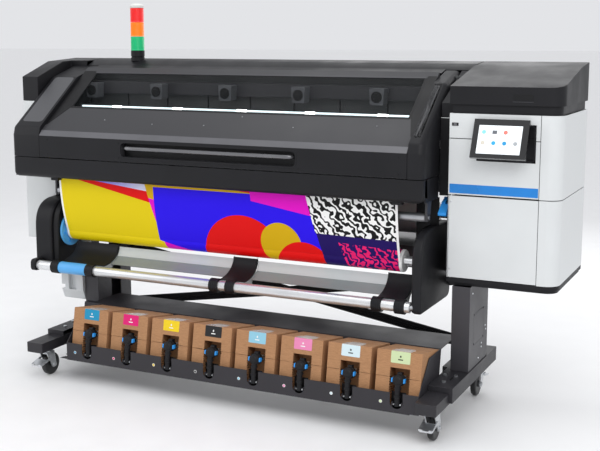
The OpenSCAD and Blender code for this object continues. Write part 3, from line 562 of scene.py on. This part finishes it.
# ---------------------------------------------------------------- stand
def make_stand():
    dress_all([("feet", "stand", 5), ("foot_covers", "stand", 2), ("posts", "stand_side", 1.5),
               ("cross_braces", "deep", 1), ("stand_bolts", "zinc", 1), ("supply_tray", "tray", 1)])
    slab("tray_lip_end", (2117, 55, 101), (2156, 58, 121), MAT["tray"], edge=0.4, slot="stand_paint")
    for tag in ("fl", "fr", "rl", "rr"):
        dress("caster_fork_" + tag, MAT["zinc"], 1.5)
        make_wheel(tag)
    outer = span("posts")[1][0]
    spots = ((400, 505), (590, 330), (598, 312), (540, 268), (540, 252), (500, 215))
    screws("post_screws", [((outer, y, z), 1) for y, z in spots], "x", 4, MAT["zinc"])
    foot = span("foot_covers")[1]
    spots = [((foot[0] - 40, y, foot[2]), 1) for y in (250, 262, 274)]
    screws("cover_screws", spots, "z", 4, MAT["deep"])


def make_wheel(tag):
    """A caster's tread, and its hub with the web drawn in on both sides."""
    low, high = span("caster_wheel_" + tag)
    mid, *centre = ((a + b) / 2 for a, b in zip(low, high))
    r = (high[2] - low[2]) / 2
    tread = [(-12, r - 14), (-12.6, r - 8), (-11, r - 2.5), (-8, r - 0.4), (0, r)]
    hub = [(-16, 7), (-16, 13), (-12, 15), (-7, 19), (-6, r - 20), (-9, r - 13)]
    tread += [(-t, q) for t, q in tread[-2::-1]]
    hub += [(-t, q) for t, q in reversed(hub)]
    pieces = [lathe("wheel_%s_%s" % (part, tag), "x", centre, [(mid + t, q) for t, q in half], MAT[mat],
                    "wheel_" + tag, slot="wheel_rubber")
              for part, half, mat in (("tread", tread, "wheel"), ("hub", hub, "grey"))]
    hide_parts("caster_wheel_" + tag)


# ---------------------------------------------------------------- ink boxes and connectors
BOX_PITCH, BOX_WIDE, BOX_DEEP, BOX_HIGH, LEAN = 205, 182, 200, 222, 10
BOX_FIRST, BOX_FRONT = 534, (68, 106)
BOX_SEAM, NOTCH_TOP, NOTCH_HALF, FLAP = 122, 158, 41, 60
SPOUT_X = 97
PIVOT = (66, 128)
INKS = [("cyan", (0.0, 0.27, 0.48)), ("magenta", (0.72, 0.0, 0.16)), ("yellow", (0.88, 0.62, 0.0)),
        ("black", (0.006, 0.006, 0.007)), ("light_cyan", (0.27, 0.56, 0.70)),
        ("light_magenta", (0.80, 0.24, 0.45)),
        ("pale_blue", (0.66, 0.80, 0.84)), ("pale_green", (0.62, 0.74, 0.42))]


def box_x(i):
    return BOX_FIRST + BOX_PITCH * i


def leaning(x, y, z):
    """The place of something that leans back with the boxes, about the point given."""
    return Matrix.Translation((x, y, z)) @ Matrix.Rotation(math.radians(-LEAN), 4, "X")


def notch_outline(low, high):
    """The front of a box from height low to high, with the torn, toothed cut-out for the connector."""
    left, right, top = SPOUT_X - NOTCH_HALF, SPOUT_X + NOTCH_HALF, min(NOTCH_TOP, high)
    steps = 24
    teeth = [(low + (top - low) * k / steps, 3.2 if k % 2 else -1) for k in range(1, steps)]
    points = [(0, low), (left, low)] + [(left + bite, z) for z, bite in teeth]
    points += [(left, top), (right, top)] + [(right - bite, z) for z, bite in reversed(teeth)]
    return points + [(right, low), (BOX_WIDE, low), (BOX_WIDE, high), (0, high)]


def make_box(i, ink, label):
    """One box: board below and above the seam, its label with a bar and a drop, tape and spout."""
    tag = "ink_box_%d_" % (i + 1)
    place = leaning(box_x(i), *BOX_FRONT)
    mark = MAT["deep"] if ink.startswith("pale") else MAT["paper"]

    def board(part, axis, outline, low, high, edge):
        return prism(tag + part, axis, outline, low, high, MAT["card"], edge=edge, place=place,
                     slot="cardboard")

    def patch(part, outline, low, high, material, edge):
        prism(tag + part, "y", outline, low, high, material, edge=edge, place=place, slot="media")

    def on_top(part, x0, x1, y0, y1, low, high, mat, edge, slot):
        slab(tag + part, (x0, y0, BOX_HIGH + low), (x1, y1, BOX_HIGH + high), MAT[mat], edge=edge,
             place=place, slot=slot)

    lip, gap = 1.2, 0.6
    body = board("body", "z", box_outline(lip, FLAP, BOX_WIDE - lip, BOX_DEEP - lip), 0, BOX_SEAM, 1.5)
    board("lid", "z", box_outline(0, FLAP, BOX_WIDE, BOX_DEEP), BOX_SEAM + gap, BOX_HIGH, 1.5)
    board("front_low", "y", notch_outline(0, BOX_SEAM), lip, FLAP + 0.5, 0.8)
    board("front_high", "y", notch_outline(BOX_SEAM + gap, BOX_HIGH), 0, FLAP + 0.5, 0.8)
    if i == 0:
        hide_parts("supply_boxes")
    patch("label", box_outline(57, BOX_HIGH - 46, 135, BOX_HIGH - 0.5, 4), -0.5, 0.4, label, 0.2)
    patch("mark", box_outline(86, BOX_HIGH - 34, 106, BOX_HIGH - 30, 1.5), -0.8, -0.2, mark, 0.1)
    drop = [(96, BOX_HIGH - 14), (100, BOX_HIGH - 21), (96, BOX_HIGH - 25), (92, BOX_HIGH - 21)]
    patch("drop", rounded(drop, 1.5), -0.8, -0.2, mark, 0.1)
    on_top("tape", 66, 126, 2, 92, -0.2, 0.3, "tape", 0.1, "cardboard")
    on_top("label_fold", 57, 135, 0.5, 58, -0.1, 0.4, "tape", 0.1, "media")
    middle = BOX_DEEP / 2
    on_top("top_gap", 1.5, BOX_WIDE - 1.5, middle - gap, middle + gap, -0.1, 0.15, "deep", 0.05, "cardboard")
    rod(tag + "spout", "y", (SPOUT_X, 113), 30, 62, 12, MAT["paper"], place=place, slot="bottle")


def make_tray_marks(i, front, label):
    """The ink's dot on the tray's front, and a deep black sheet behind the tray's slot as painted shade."""
    dot = (box_x(i) + 34, 136)
    rod("tray_dot_%d" % (i + 1), "y", dot, front - 0.5, front + 0.8, 6.5, MAT["paper"], slot="media")
    rod("tray_dot_ink_%d" % (i + 1), "y", dot, front - 0.9, front + 0.4, 5, label, slot="media")
    middle = box_x(i) + SPOUT_X
    # Deep black sheet where the box's cut-out lies in shade: painted shade inside the cut-out.
    slab("tray_slot_painted_shade_%d" % (i + 1), (middle - 30, 84, 103), (middle + 30, 85.5, 172), MAT["deep"], edge=0.4,
         slot="stand_paint")


def make_supplies():
    tray_front = span("supply_tray")[0][1]
    for i, (ink, colour) in enumerate(INKS):
        label = tint("label_" + ink, colour, 0.35)
        make_box(i, ink, label)
        make_tray_marks(i, tray_front, label)
        make_connector(i)


def make_connector(i):
    """The elbow that plugs into an ink box: head with ribs, two blue latches and a bent neck."""
    name = "connector_%d_" % (i + 1)
    here = {"body": "ink_connector_%d" % (i + 1), "place": leaning(box_x(i) + SPOUT_X, *PIVOT)}
    head_z = 92

    face = [(-20, 4), (-20, 9), (-17, 15), (-13, 17), (-12, 21), (-8, 23), (0, 23), (1, 21.5), (3, 21.5),
            (4, 23), (12, 23), (13, 21), (24, 20), (26, 17), (34, 16.5), (34, 6)]
    head = lathe(name + "head", "y", (0, head_z), face, MAT["black"], **here)
    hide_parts("connector_%d" % (i + 1))
    for k in range(3):
        a = math.radians(90 + 120 * k)
        rod(name + "rivet_%d" % k, "y", (10 * math.cos(a), head_z + 10 * math.sin(a)), -18.5, -16.5, 2.6,
            MAT["gloss"], **here)
    neck = smooth_path([(0, -4, head_z - 6), (0, -7, head_z - 30), (0, -5, 40), (0, -1, 14), (0, 0, -6)])
    pipe(name + "neck", neck, 11.5, MAT["black"], **here)
    for z, y in ((62, -6), (30, -4)):
        collar = [(z - 5, 11), (z - 4, 14), (z + 4, 14), (z + 5, 11)]
        lathe(name + "collar_%d" % z, "z", (0, y), collar, MAT["black"], **here)
    bridge = [(-2, head_z + 14), (26, head_z + 14), (26, head_z + 30), (4, head_z + 30)]
    prism(name + "bridge", "x", rounded(bridge, [2, 2, 5, 8]), -9, 9, MAT["black"], edge=1.5, **here)
    latch = [(-12, head_z - 9), (6, head_z - 7), (6, head_z + 9), (-12, head_z + 8)]
    cheek = box_outline(-4, head_z - 14, 14, head_z + 14, 5)
    for side, way in (("l", -1), ("r", 1)):
        prism(name + "latch_" + side, "x", rounded(latch, 3), *sorted((way * 21.5, way * 27)), MAT["blue"],
              edge=1.2, slot="blue_plastic", **here)
        prism(name + "cheek_" + side, "x", cheek, *sorted((way * 18, way * 22)), MAT["black"],
              edge=1.2, **here)
    rod(name + "pin", "x", (0, 0), -20.5, 20.5, 4, MAT["zinc"], slot="zinc", **here)


# ---------------------------------------------------------------- hood and body
BLOWERS, BLOWER_FIRST, BLOWER_PITCH = 5, 297, 362
FACE_Y, FASCIA_Z, HOOD_X, DOOR_X = 245, (870, 960), (94, 2092), (255, 2025)
WING_LINE = [(FACE_Y, 963), (FACE_Y, 1062), (256, 1100), (540, 1318), (700, 1366)]
HANDLE_X, HANDLE_Z = (700, 1552), (984, 1049)
SLOPE_FOOT, SLOPE = (265, 1086), 0.77


def make_hood():
    left, right = HOOD_X
    seam_y = 699

    def level(p, q):
        """Keeps the cover's lower edge level and its back end on its seam where the corner is drawn in."""
        if abs(q.y - WING_LINE[0][1]) < 0.01:
            return Vector((p.x, q.y))
        return Vector((q.x, p.y)) if q.x >= seam_y else p

    line = [WING_LINE[0]] + rounded([(0, 0)] + WING_LINE[1:], [0, 8, 26, 60, 0])[1:]
    back = [(700, 1240), (436, 1095), (436, 963)]
    end_r, door_gap = 26, 2
    x0, x1 = left, DOOR_X[0] - door_gap
    wing = end_rounded("wing_shell_left", line, back, x0, x1, end_r, 0, MAT["black"], level)
    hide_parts("hood_wings")
    make_wing_panel("left", x0 + 34, x1 - 12)
    x0, x1 = DOOR_X[1] + door_gap, right
    end_rounded("wing_shell_right", line, back, x0, x1, 0, end_r, MAT["black"], level)
    make_wing_panel("right", x0 + 14, x1 - 34)

    low_z, high_z = FASCIA_Z
    fascia = [(300, low_z), (260, low_z), (249, 877), (245, 888), (245, high_z)]

    def under(p, q):
        """Keeps the fascia's upper edge level, and the rest of it above its underside."""
        return Vector((p.x, q.y if abs(q.y - high_z) < 0.01 else max(p.y, low_z)))

    shell = end_rounded("fascia_shell", fascia, [(290, high_z), (300, 885)], left, right, end_r, end_r,
                        MAT["black"], under)
    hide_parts("lower_fascia")
    thick = 4
    for side, x in (("left", left), ("right", right - thick)):
        slab("fascia_cheek_" + side, (x, 268, low_z), (x + thick, 434, high_z), MAT["black"], edge=1)
    dress_all([("front_door", "panel", 3), ("door_window", "glass", 0), ("top_cover", "black", 1.5),
               ("rear_cover", "black", 1), ("left_cap", "black", 6), ("left_end_cover", "white", 4),
               ("main_frame", "stand_side", 1), ("platen", "grey", 1)])
    make_door_face()
    make_door_cheeks()
    make_handle()
    make_window_trim()
    for k, x in enumerate((300, 1960)):
        slab("fascia_clip_%d" % k, (x, 262, 858), (x + 40, 292, 872), MAT["black"], edge=2)


def make_wing_panel(side, x0, x1):
    """The inset panel on a wing's slope, a thin plate that follows it."""
    low, high = Vector((284, 1121)), Vector((536, 1314.5))
    along = (high - low).normalized()
    out = Vector((-along.y, along.x))
    outline = box_outline(x0, 0, x1, (high - low).length, 18)
    rings = [[(x, *(low + along * t + out * lift)) for x, t in outline] for lift in (-2, 0.8)]
    loft("wing_panel_" + side, rings, MAT["wing"], edge=0.5)


def door_point(y, lift=0.0):
    """A point on the door's slope, lifted square to it."""
    z = SLOPE_FOOT[1] + SLOPE * (y - SLOPE_FOOT[0])
    n = math.hypot(1, SLOPE)
    return (y - lift * SLOPE / n, z + lift / n)


def make_door_face():
    """The darker front of the door, laid on the CAD door's face around the handle's recess."""
    x0, x1 = DOOR_X
    z0, z1 = 966, 1061
    a, b = HANDLE_X
    c, d = HANDLE_Z
    for name, low, high in (("left", (x0, z0), (a, z1)), ("right", (b, z0), (x1, z1)),
                            ("low", (a, z0), (b, c)), ("high", (a, d), (b, z1))):
        slab("door_face_" + name, (low[0], FACE_Y - 0.8, low[1]), (high[0], FACE_Y + 0.5, high[1]),
             MAT["black"], "hood_door", edge=0.3)
    corners = [((x, FACE_Y - 0.8, z), -1) for x in (300, 690, 1566, 1990) for z in (980, 1046)]
    screws("door_screws", corners, "y", 3, MAT["deep"], "hood_door")
    spots = ((560, 330), (820, 318), (1080, 322), (1240, 372), (1500, 330), (1860, 352))
    places = [((x, *door_point(y, 0.2)), 1) for x, y in spots]
    screws("panel_screws", places, "z", 2.6, MAT["zinc"], "hood_door")


def make_door_cheeks():
    """Dark plates beside the window, and a lighter rim along the door's lower edge whose grey is a painted
    highlight on the bevel.
    """
    for name, outline in (("left", [(256, 285), (328, 398), (323, 600), (256, 600)]),
                          ("right", [(2024, 285), (1984, 398), (1984, 600), (2024, 600)])):
        outline = rounded(outline, [6, 14, 6, 4])
        rings = [[(x, *door_point(y, lift)) for x, y in outline] for lift in (-1, 1.2)]
        loft("door_cheek_" + name, rings, MAT["deep"], "hood_door", edge=0.4)
    # The rim strip's lighter grey paints the highlight along the door's lower bevel.
    low, high = Vector((FACE_Y - 0.6, 1062)), Vector((264.4, 1085.4))
    along = high - low
    out = Vector((-along.y, along.x)).normalized() * 1.2
    prism("door_rim_painted_highlight", "x", [low, high, high + out, low + out], DOOR_X[0] + 1, DOOR_X[1] - 1,
          MAT["bevel_painted_highlight"], "hood_door", edge=0.4)


def make_handle():
    """The bar across the recess, with the recess's back and rim."""
    low, high = span("door_handle")
    y, z = FACE_Y + 2, 1024
    wide, deep = 16, 14

    def end(x, way):
        """One end of the bar, from inside the recess round its bend."""
        turns = [math.radians(d) for d in (20, 40, 60, 80)]
        bend = [(x + way * wide * (1 - math.cos(a)), y + deep - deep * math.sin(a), z) for a in turns]
        return [(x, y + 30, z), (x, y + deep, z)] + bend + [(x + way * 40, y, z)]

    path = end(low[0] + 4, 1) + end(high[0] - 4, -1)[::-1]
    bar = pipe("handle_bar", path, 9, MAT["gloss"], "hood_door", steps=20, slot="grey_moulding")
    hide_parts("door_handle")
    x0, x1, z0, z1 = HANDLE_X[0] + 2, HANDLE_X[1] - 2, HANDLE_Z[0] + 2, HANDLE_Z[1] - 2
    slab("handle_recess_back", (x0, 276.4, z0), (x1, 277.8, z1), MAT["deep"], "hood_door", edge=0.4)
    wall = 7
    inner = box_outline(x0, z0, x1, z1, 22)
    outer = box_outline(x0 - wall, z0 - wall, x1 + wall, z1 + wall, 26)
    near, far = FACE_Y - 1.6, FACE_Y + 2
    rings = [[(x, depth, height) for x, height in outline]
             for outline, depth in ((outer, near), (inner, near), (inner, far), (outer, far))]
    loft("handle_rim", rings, MAT["black"], "hood_door", looped=True, edge=0.5)


def make_window_trim():
    x0, x1 = 332, 1975
    # The trim strips are real; the top strip's lighter grey is a painted highlight along the window's upper
    # edge, the other three are deep black.
    for side, y0, y1, left, right, mat, lift in (
            ("top", 588, 596, x0 - 6, x1 + 6, "grey", 1.4), ("low", 390, 398, x0 - 6, x1 + 6, "deep", 1.0),
            ("left", 392, 594, x0 - 8, x0, "deep", 1.0), ("right", 392, 594, x1, x1 + 8, "deep", 1.0)):
        outline = [door_point(y0, -1), door_point(y1, -1), door_point(y1, lift), door_point(y0, lift)]
        prism("window_trim_" + side, "x", outline, left, right, MAT[mat], "hood_door", edge=0.4)


def make_inside():
    """What shows through the window: header, five blower modules, the light bar and the beam's cover."""
    grey = {"slot": "grey_moulding"}
    header = slab("dryer_header", (188, 600, 1240), (2087, 640, 1300), MAT["grey"], edge=3, **grey)
    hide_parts("curing_unit")
    for i in range(BLOWERS):
        x = BLOWER_FIRST + BLOWER_PITCH * i
        front = rounded([(x + 5, 1222), (x + 63, 1222), (x + 68, 1292), (x, 1292)], [8, 8, 6, 6])
        prism("blower_%d" % (i + 1), "y", front, 546, 601, MAT["blower"], edge=2, **grey)
        for k in range(4):
            rod("blower_ring_%d_%d" % (i + 1, k), "y", (x + 34, 1256), 542 + k * 0.6, 546.6, 24 - 6 * k,
                MAT["blower" if k % 2 else "deep"], lip=0.5, **grey)
    low, high = 300, 2010
    slab("lamp_bar", (low, 505, 1176), (high, 517, 1180), MAT["tube"], edge=0.5, slot="tube_aluminium")
    rod("lamp_tube", "x", (510, 1184), low + 2, high - 2, 4.2, MAT["light"], slot="signal_lens")
    for k in range(5):
        x = 480 + 330 * k
        rod("lamp_spot_%d" % (k + 1), "x", (508, 1184), x, x + 46, 6, MAT["glint"], slot="signal_lens")
    hanger = [(503, 1174), (640, 1174), (640, 1242), (600, 1242), (600, 1192), (503, 1192)]
    for x in (292, 2010):
        prism("lamp_bracket_%d" % x, "x", hanger, x, x + 7, MAT["grey"], edge=0.8, **grey)
    slab("beam_cover", (190, 645, 1112), (2117, 651, 1346), MAT["inner"], edge=1, **grey)
    for k in range(9):
        x = 250 + 220 * k
        slab("beam_rib_%d" % k, (x, 641, 1116), (x + 5, 646, 1240), MAT["deep"], edge=0.6, **grey)
    slab("beam_ledge", (190, 622, 1112), (2117, 648, 1126), MAT["grey"], edge=1, **grey)
    dress_all([("carriage_rail", "tube", 0.6), ("print_carriage", "grey", 4), ("cross_cutter", "red", 2),
               ("drive_roller", "steel", 0), ("pinch_rollers", "rubber", 0), ("output_roller", "steel", 0),
               ("supply_roll", "paper", 0), ("load_lever", "blue", 2), ("waste_bottle", "bottle", 7)])
    for k in range(6):
        x = 2206 + 46 * k
        slab("carriage_rib_%d" % k, (x, 452, 985), (x + 34, 458, 1060), MAT["black"], "carriage", edge=1.5,
             slot="carriage")


# ---------------------------------------------------------------- cabinet
def make_cabinet():
    dress_all([("cabinet_shell", "white", 1.5), ("cabinet_front", "white", 1.5),
               ("service_door", "white", 1.5), ("cabinet_cap", "black", 5), ("cabinet_base", "black", 3),
               ("screen_mount", "black", 3), ("touch_screen", "bezel", 3)])
    face, cap = span("cabinet_front")[0][1], span("cabinet_cap")[0][1]
    slab("cabinet_stripe", (2153, face - 0.6, 902), (2499, face + 0.5, 938), MAT["stripe"], edge=0.4,
         slot="blue_plastic")
    slab("power_switch", (2158, face - 2.5, 1164), (2184, face + 1, 1176), MAT["deep"], edge=1.5)
    slab("power_switch_key", (2165, face - 4, 1166), (2178, face - 1, 1174), MAT["gloss"], edge=1.2)
    screws("hinge_screws", [((2160, face + 1, z), -1) for z in (600, 868)], "y", 4, MAT["zinc"])
    # A deep black sheet across the gap between hood and cabinet: painted shadow.
    slab("hood_gap_painted_shadow", (2095, 435.6, 882), (2146, 437.8, 1188), MAT["deep"], edge=0.4)
    for name, x0, x1, z0, z1 in (("upright", 2498, 2508, 566, 1210), ("middle", 2152, 2500, 885, 903),
                                 ("high", 2152, 2500, 1108, 1122)):
        slab("seam_shadow_" + name, (x0, 388, z0), (x1, 391, z1), MAT["deep"], edge=0.4, slot="white_sheet")
    slab("cap_plate", (2392, cap - 0.7, 1268), (2470, cap + 0.6, 1290), MAT["deep"], edge=0.5)
    slab("cap_line", (2392, cap - 0.9, 1260), (2470, cap + 0.6, 1262), MAT["grey"], edge=0.2)
    slab("guard_plate", (1990, 466, 650), (2086, 470, 868), MAT["deep"], edge=0.6)
    make_screen()


def make_screen():
    """The lit display with its icons, and the rim round the screen's back."""
    here = {"body": "screen",
            "place": Matrix.Translation((2254, 299, 1054)) @ Matrix.Rotation(math.radians(-24), 4, "X")}
    glass = {"slot": "screen_glass", **here}
    wide, tall = 212, 155
    left, right, bottom, top = 22, wide - 24, 17, tall - 25
    prism("display", "y", box_outline(left, bottom, right, top), -0.2, 1.2, MAT["display"], edge=0.2, **glass)
    colours = [(0.25, 0.65, 0.80), (0.12, 0.13, 0.15), (0.75, 0.20, 0.16), (0.75, 0.76, 0.72),
               (0.62, 0.58, 0.50), (0.03, 0.38, 0.70), (0.02, 0.30, 0.62), (0.38, 0.40, 0.42)]
    step = (right - left) / 4
    for k, colour in enumerate(colours):
        x = left + step * (k % 4 + 0.5)
        z = top - 27 - 43 * (k // 4)
        outline = [(x + u, z + v) for u, v in circle(8, 20)]
        if k in (1, 3):
            outline = box_outline(x - 9, z - 7, x + 9, z + 7, 2)
        icon = tint("icon_%d" % k, colour, 0.35, 0.15)
        prism("icon_%d" % k, "y", outline, -0.7, 0.3, icon, edge=0.1, **glass)
        bar = tint("icon_bar", (0.5, 0.52, 0.54), 0.4, 0.1)
        prism("icon_bar_%d" % k, "y", box_outline(x - 8, z - 17, x + 8, z - 15), -0.5, 0.3, bar, edge=0.05,
              **glass)
    prism("screen_back_rim", "y", box_outline(2, 2, wide - 2, tall - 2, 12), 2, 14.2, MAT["black"], edge=1.5,
          **here)


# ---------------------------------------------------------------- beacon
def make_beacon():
    low, high = span("beacon")
    centre = ((low[0] + high[0]) / 2, (low[1] + high[1]) / 2)
    base, r = high[2] - 270, (high[0] - low[0]) / 2
    first_lens, lens_pitch = base + 45, 68
    profile = [(low[2] + 0.5, r - 8), (low[2] + 0.5, r - 1), (base + 11, r - 1), (base + 13, r - 4),
               (base + 15, r - 4), (base + 17, r - 1), (base + 44, r - 1), (first_lens, r - 3)]
    foot = lathe("beacon_foot", "z", centre, profile, MAT["black"])
    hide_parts("beacon")
    for k, (name, colour) in enumerate((("green", (0.01, 0.42, 0.16)), ("amber", (1.0, 0.20, 0.01)),
                                        ("red", (0.72, 0.02, 0.02)))):
        z = first_lens + lens_pitch * k
        profile = [(z, r - 6), (z + 0.5, r - 1)]
        for n in range(15):
            profile += [(z + 3 + n * 4.1, r - 1), (z + 5 + n * 4.1, r - 2.2)]
        profile += [(z + 66, r - 1), (z + 67, r - 6)]
        lens = tint("lens_" + name, colour, 0.22, 0.35)
        lathe("beacon_" + name, "z", centre, profile, lens, slot="signal_lens")
    top = base + 248
    profile = [(top, r - 2), (top + 2, r - 0.5), (top + 12, r - 0.5), (top + 16, r - 5), (top + 20, r - 12),
               (top + 21.8, r - 24)]
    white = tint("cap_white", (0.74, 0.75, 0.72), 0.3)
    lathe("beacon_cap", "z", centre, profile, white, slot="signal_lens")


# ---------------------------------------------------------------- reel, deflector and media
REEL, TUBE, TUBE_R, RING_WIDE = (400, 610), (262, 456), 22, 42
ARMS = [(298, 533), (1142, 1263), (1885, 2024)]
BLADES = [(336, 575), (1180, 1300), (1900, 2012)]
SLEEVE = (340, 491)
ARM_TOP = (392, 557)
LEFT_X, RIGHT_X = (165, 290), (2046, 2088)
HOUSING_BACK, HOUSING_Z = 626, (430, 755)


def housing_outline(front):
    return rounded(box_outline(front, HOUSING_Z[0], HOUSING_BACK, HOUSING_Z[1]), [26, 40, 30, 130], 10)


def arc(centre, r, turns):
    """Points (y, z) round the centre, one for each turn in degrees."""
    angles = [math.radians(a) for a in turns]
    return [(centre[0] + r * math.cos(a), centre[1] + r * math.sin(a)) for a in angles]


def make_reel():
    left, right = LEFT_X[1], RIGHT_X[0]
    shell = prism("reel_case_left", "x", housing_outline(300), LEFT_X[0], left - 32, MAT["black"], edge=9,
                  segments=4)
    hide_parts("reel_housing_left")
    prism("reel_case_left_inner", "x", housing_outline(312), left - 30, left, MAT["deep"], edge=6, segments=4)
    lug = rounded([(234, 430), (330, 431), (330, 486), (234, 484)], [20, 4, 4, 20])
    prism("reel_lug_left", "x", lug, LEFT_X[0] + 20, LEFT_X[0] + 46, MAT["black"], edge=4)
    shell = prism("reel_case_right", "x", housing_outline(250), right + 6, RIGHT_X[1], MAT["black"], edge=9,
                  segments=4)
    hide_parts("reel_housing_right")
    prism("reel_case_right_inner", "x", housing_outline(262), right, right + 7, MAT["deep"], edge=3)
    for k in range(7):
        z = 470 + 36 * k
        prism("reel_rib_%d" % k, "x", box_outline(305, z, 330, z + 18, 3), right - 6, right + 1, MAT["deep"],
              edge=1.5)
    x0, x1 = left + 2, right - 2
    shaft = rod("reel_tube", "x", REEL, x0, x1, 20, MAT["tube"], "reel", slot="tube_aluminium")
    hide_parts("reel_spindle")
    rod("reel_shaft", "x", REEL, x0 - 23, x1 + 23, 12, MAT["steel"], "reel", slot="tube_aluminium")
    hub = [(0, 30), (0, 74), (2, 77), (9, 77), (11, 74), (9, 68), (9, 44), (14, 38), (14, 21)]
    for name, x, way, disc, boss in (("left", x0, 1, "hub", "blue"), ("right", x1, -1, "black", "deep")):
        lathe("reel_hub_" + name, "x", REEL, [(x + way * t, r) for t, r in hub], MAT[disc], "reel", steps=56,
              slot="blue_plastic")
        for k, centre in enumerate(arc(REEL, 56, range(12, 372, 60))):
            rod("reel_hub_boss_%s_%d" % (name, k), "x", centre, *sorted((x + way * 8, x + way * 11)), 7,
                MAT[boss], "reel", slot="blue_plastic")


def ramp(t):
    """The arms' curved upper line (y, z), from over the tube at 0 to the arms' top at 1."""
    foot = (TUBE[0] + 4, TUBE[1] + 26)
    turn = math.pi / 2 * t
    return (foot[0] + (ARM_TOP[0] - foot[0]) * math.sin(turn),
            foot[1] + (ARM_TOP[1] - foot[1]) * (1 - math.cos(turn)))


def make_tube():
    x0, x1 = LEFT_X[0] + 48, RIGHT_X[0] - 2
    tube = rod("deflector_rod", "x", TUBE, x0, x1, TUBE_R, MAT["tube"], "deflector", steps=48,
               slot="tube_aluminium")
    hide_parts("deflector_tube")
    rod("deflector_shaft", "x", TUBE, x0 - 24, x1 + 20, 9.9, MAT["steel"], "deflector", slot="tube_aluminium")
    a, b = SLEEVE
    lathe("tube_sleeve", "x", TUBE, [(a, 23), (a + 1, 26), (a + 6, 27), (b - 6, 27), (b - 1, 26), (b, 23)],
          MAT["hub"], "deflector", slot="blue_plastic")


def make_tube_ring(name, x):
    """A clamp round the tube, with shallow grooves."""
    ribs, low, high = 5, TUBE_R + 7, TUBE_R + 8
    rib = RING_WIDE / ribs
    profile = [(x, TUBE_R + 1)]
    for k in range(ribs):
        s = x + RING_WIDE * k / ribs
        profile += [(s + 0.5, low), (s + 1.5, high), (s + rib - 1.5, high), (s + rib - 0.5, low)]
    profile.append((x + RING_WIDE, TUBE_R + 1))
    lathe("tube_ring_" + name, "x", TUBE, profile, MAT["black"], "deflector", slot="grey_moulding")


def make_deflector():
    """The tube with three curved arms on it, and the white sheets between the arms, their lower curve in
    darker grey as painted shade.
    """
    make_tube()
    grey = {"body": "deflector", "slot": "grey_moulding"}
    top = [ramp(i / 10) for i in range(11)]
    under = [(ARM_TOP[0] - 1, ARM_TOP[1] - 16), (ARM_TOP[0] - 22, ARM_TOP[1] - 60),
             (TUBE[0] + 62, TUBE[1] - 6), (TUBE[0] + 10, TUBE[1] - 25)]
    skin = [(y - 1.2, z + 1.2) for y, z in top] + [(y + 5, z - 5) for y, z in reversed(top)]
    web = [(y + 2, z - 3) for y, z in top] + under
    for name, (a, b), (start, stop) in zip(("left", "centre", "right"), ARMS, BLADES):
        arm = prism("arm_skin_" + name, "x", skin, start, stop, MAT["black"], edge=1.2, **grey)
        if name == "left":
            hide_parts("deflector_arms")
        prism("arm_side_" + name, "x", web, start + 3, stop - 3, MAT["pale_grey"], edge=2, **grey)
        prism("arm_side_edge_" + name, "x", web, stop - 4, stop - 0.5, MAT["pale_grey"], edge=1, **grey)
        make_tube_ring(name + "_a", a)
        make_tube_ring(name + "_b", b - RING_WIDE)
    line = [ramp(i / 14) for i in range(4, 15)]
    for k in (0, 1):
        a, b = BLADES[k][1] + 1, BLADES[k + 1][0] - 1
        # The low part of each sheet takes the darker copy of the white: painted shade on its lower curve.
        for part, points, lift, mat in (("low", line[:6], 0, "sheet_painted_shade"), ("high", line[5:], 1.5, "sheet")):
            face = [(y + 3 - lift, z - 9 + lift) for y, z in points]
            rear = [(y + 6 - lift, z - 12 + lift) for y, z in reversed(points)]
            sheet = prism("guide_%s_%d" % (part, k + 1), "x", face + rear, a, b, MAT[mat], "deflector",
                          edge=0.8, slot="deflector_sheet")
            if k == 0 and part == "low":
                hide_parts("deflector_sheets")


def web_path():
    """The media's line (y, z) over the drive roller and platen and down to the reel."""
    drive, drive_r = (650, 912), 18.4
    nose, nose_r = (325, 910), 20.4
    line = [(drive[0] + drive_r, 765)]
    line += arc(drive, drive_r, range(0, 91, 18)) + arc(nose, nose_r, range(90, 181, 15))
    start, stop, sag = (nose[0] - nose_r, nose[1]), (REEL[0] - 47.5, REEL[1] + 4), 2.2
    steps = 20
    for t in (k / steps for k in range(1, steps + 1)):
        line.append((start[0] + (stop[0] - start[0]) * t ** sag, start[1] + (stop[1] - start[1]) * t))
    return line


def make_media():
    low, high = span("media_web")
    x0, x1 = low[0], high[0]
    line = web_path()
    section = line + inset_line(line, -1.0)[::-1]
    columns = 24
    rings = [[(x0 + (x1 - x0) * k / columns, p[0], p[1]) for p in section] for k in range(columns + 1)]
    paint = artwork(at(x0, 0, 0).x, at(x1, 0, 0).x, 0.565, 0.885)
    dress("take_up_roll", paint)
    web = loft("printed_web", rings, paint, slot="media")
    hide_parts("media_web")


make_camera()
make_stage()
make_stand()
make_supplies()
make_hood()
make_inside()
make_cabinet()
make_beacon()
make_reel()
make_deflector()
make_media()
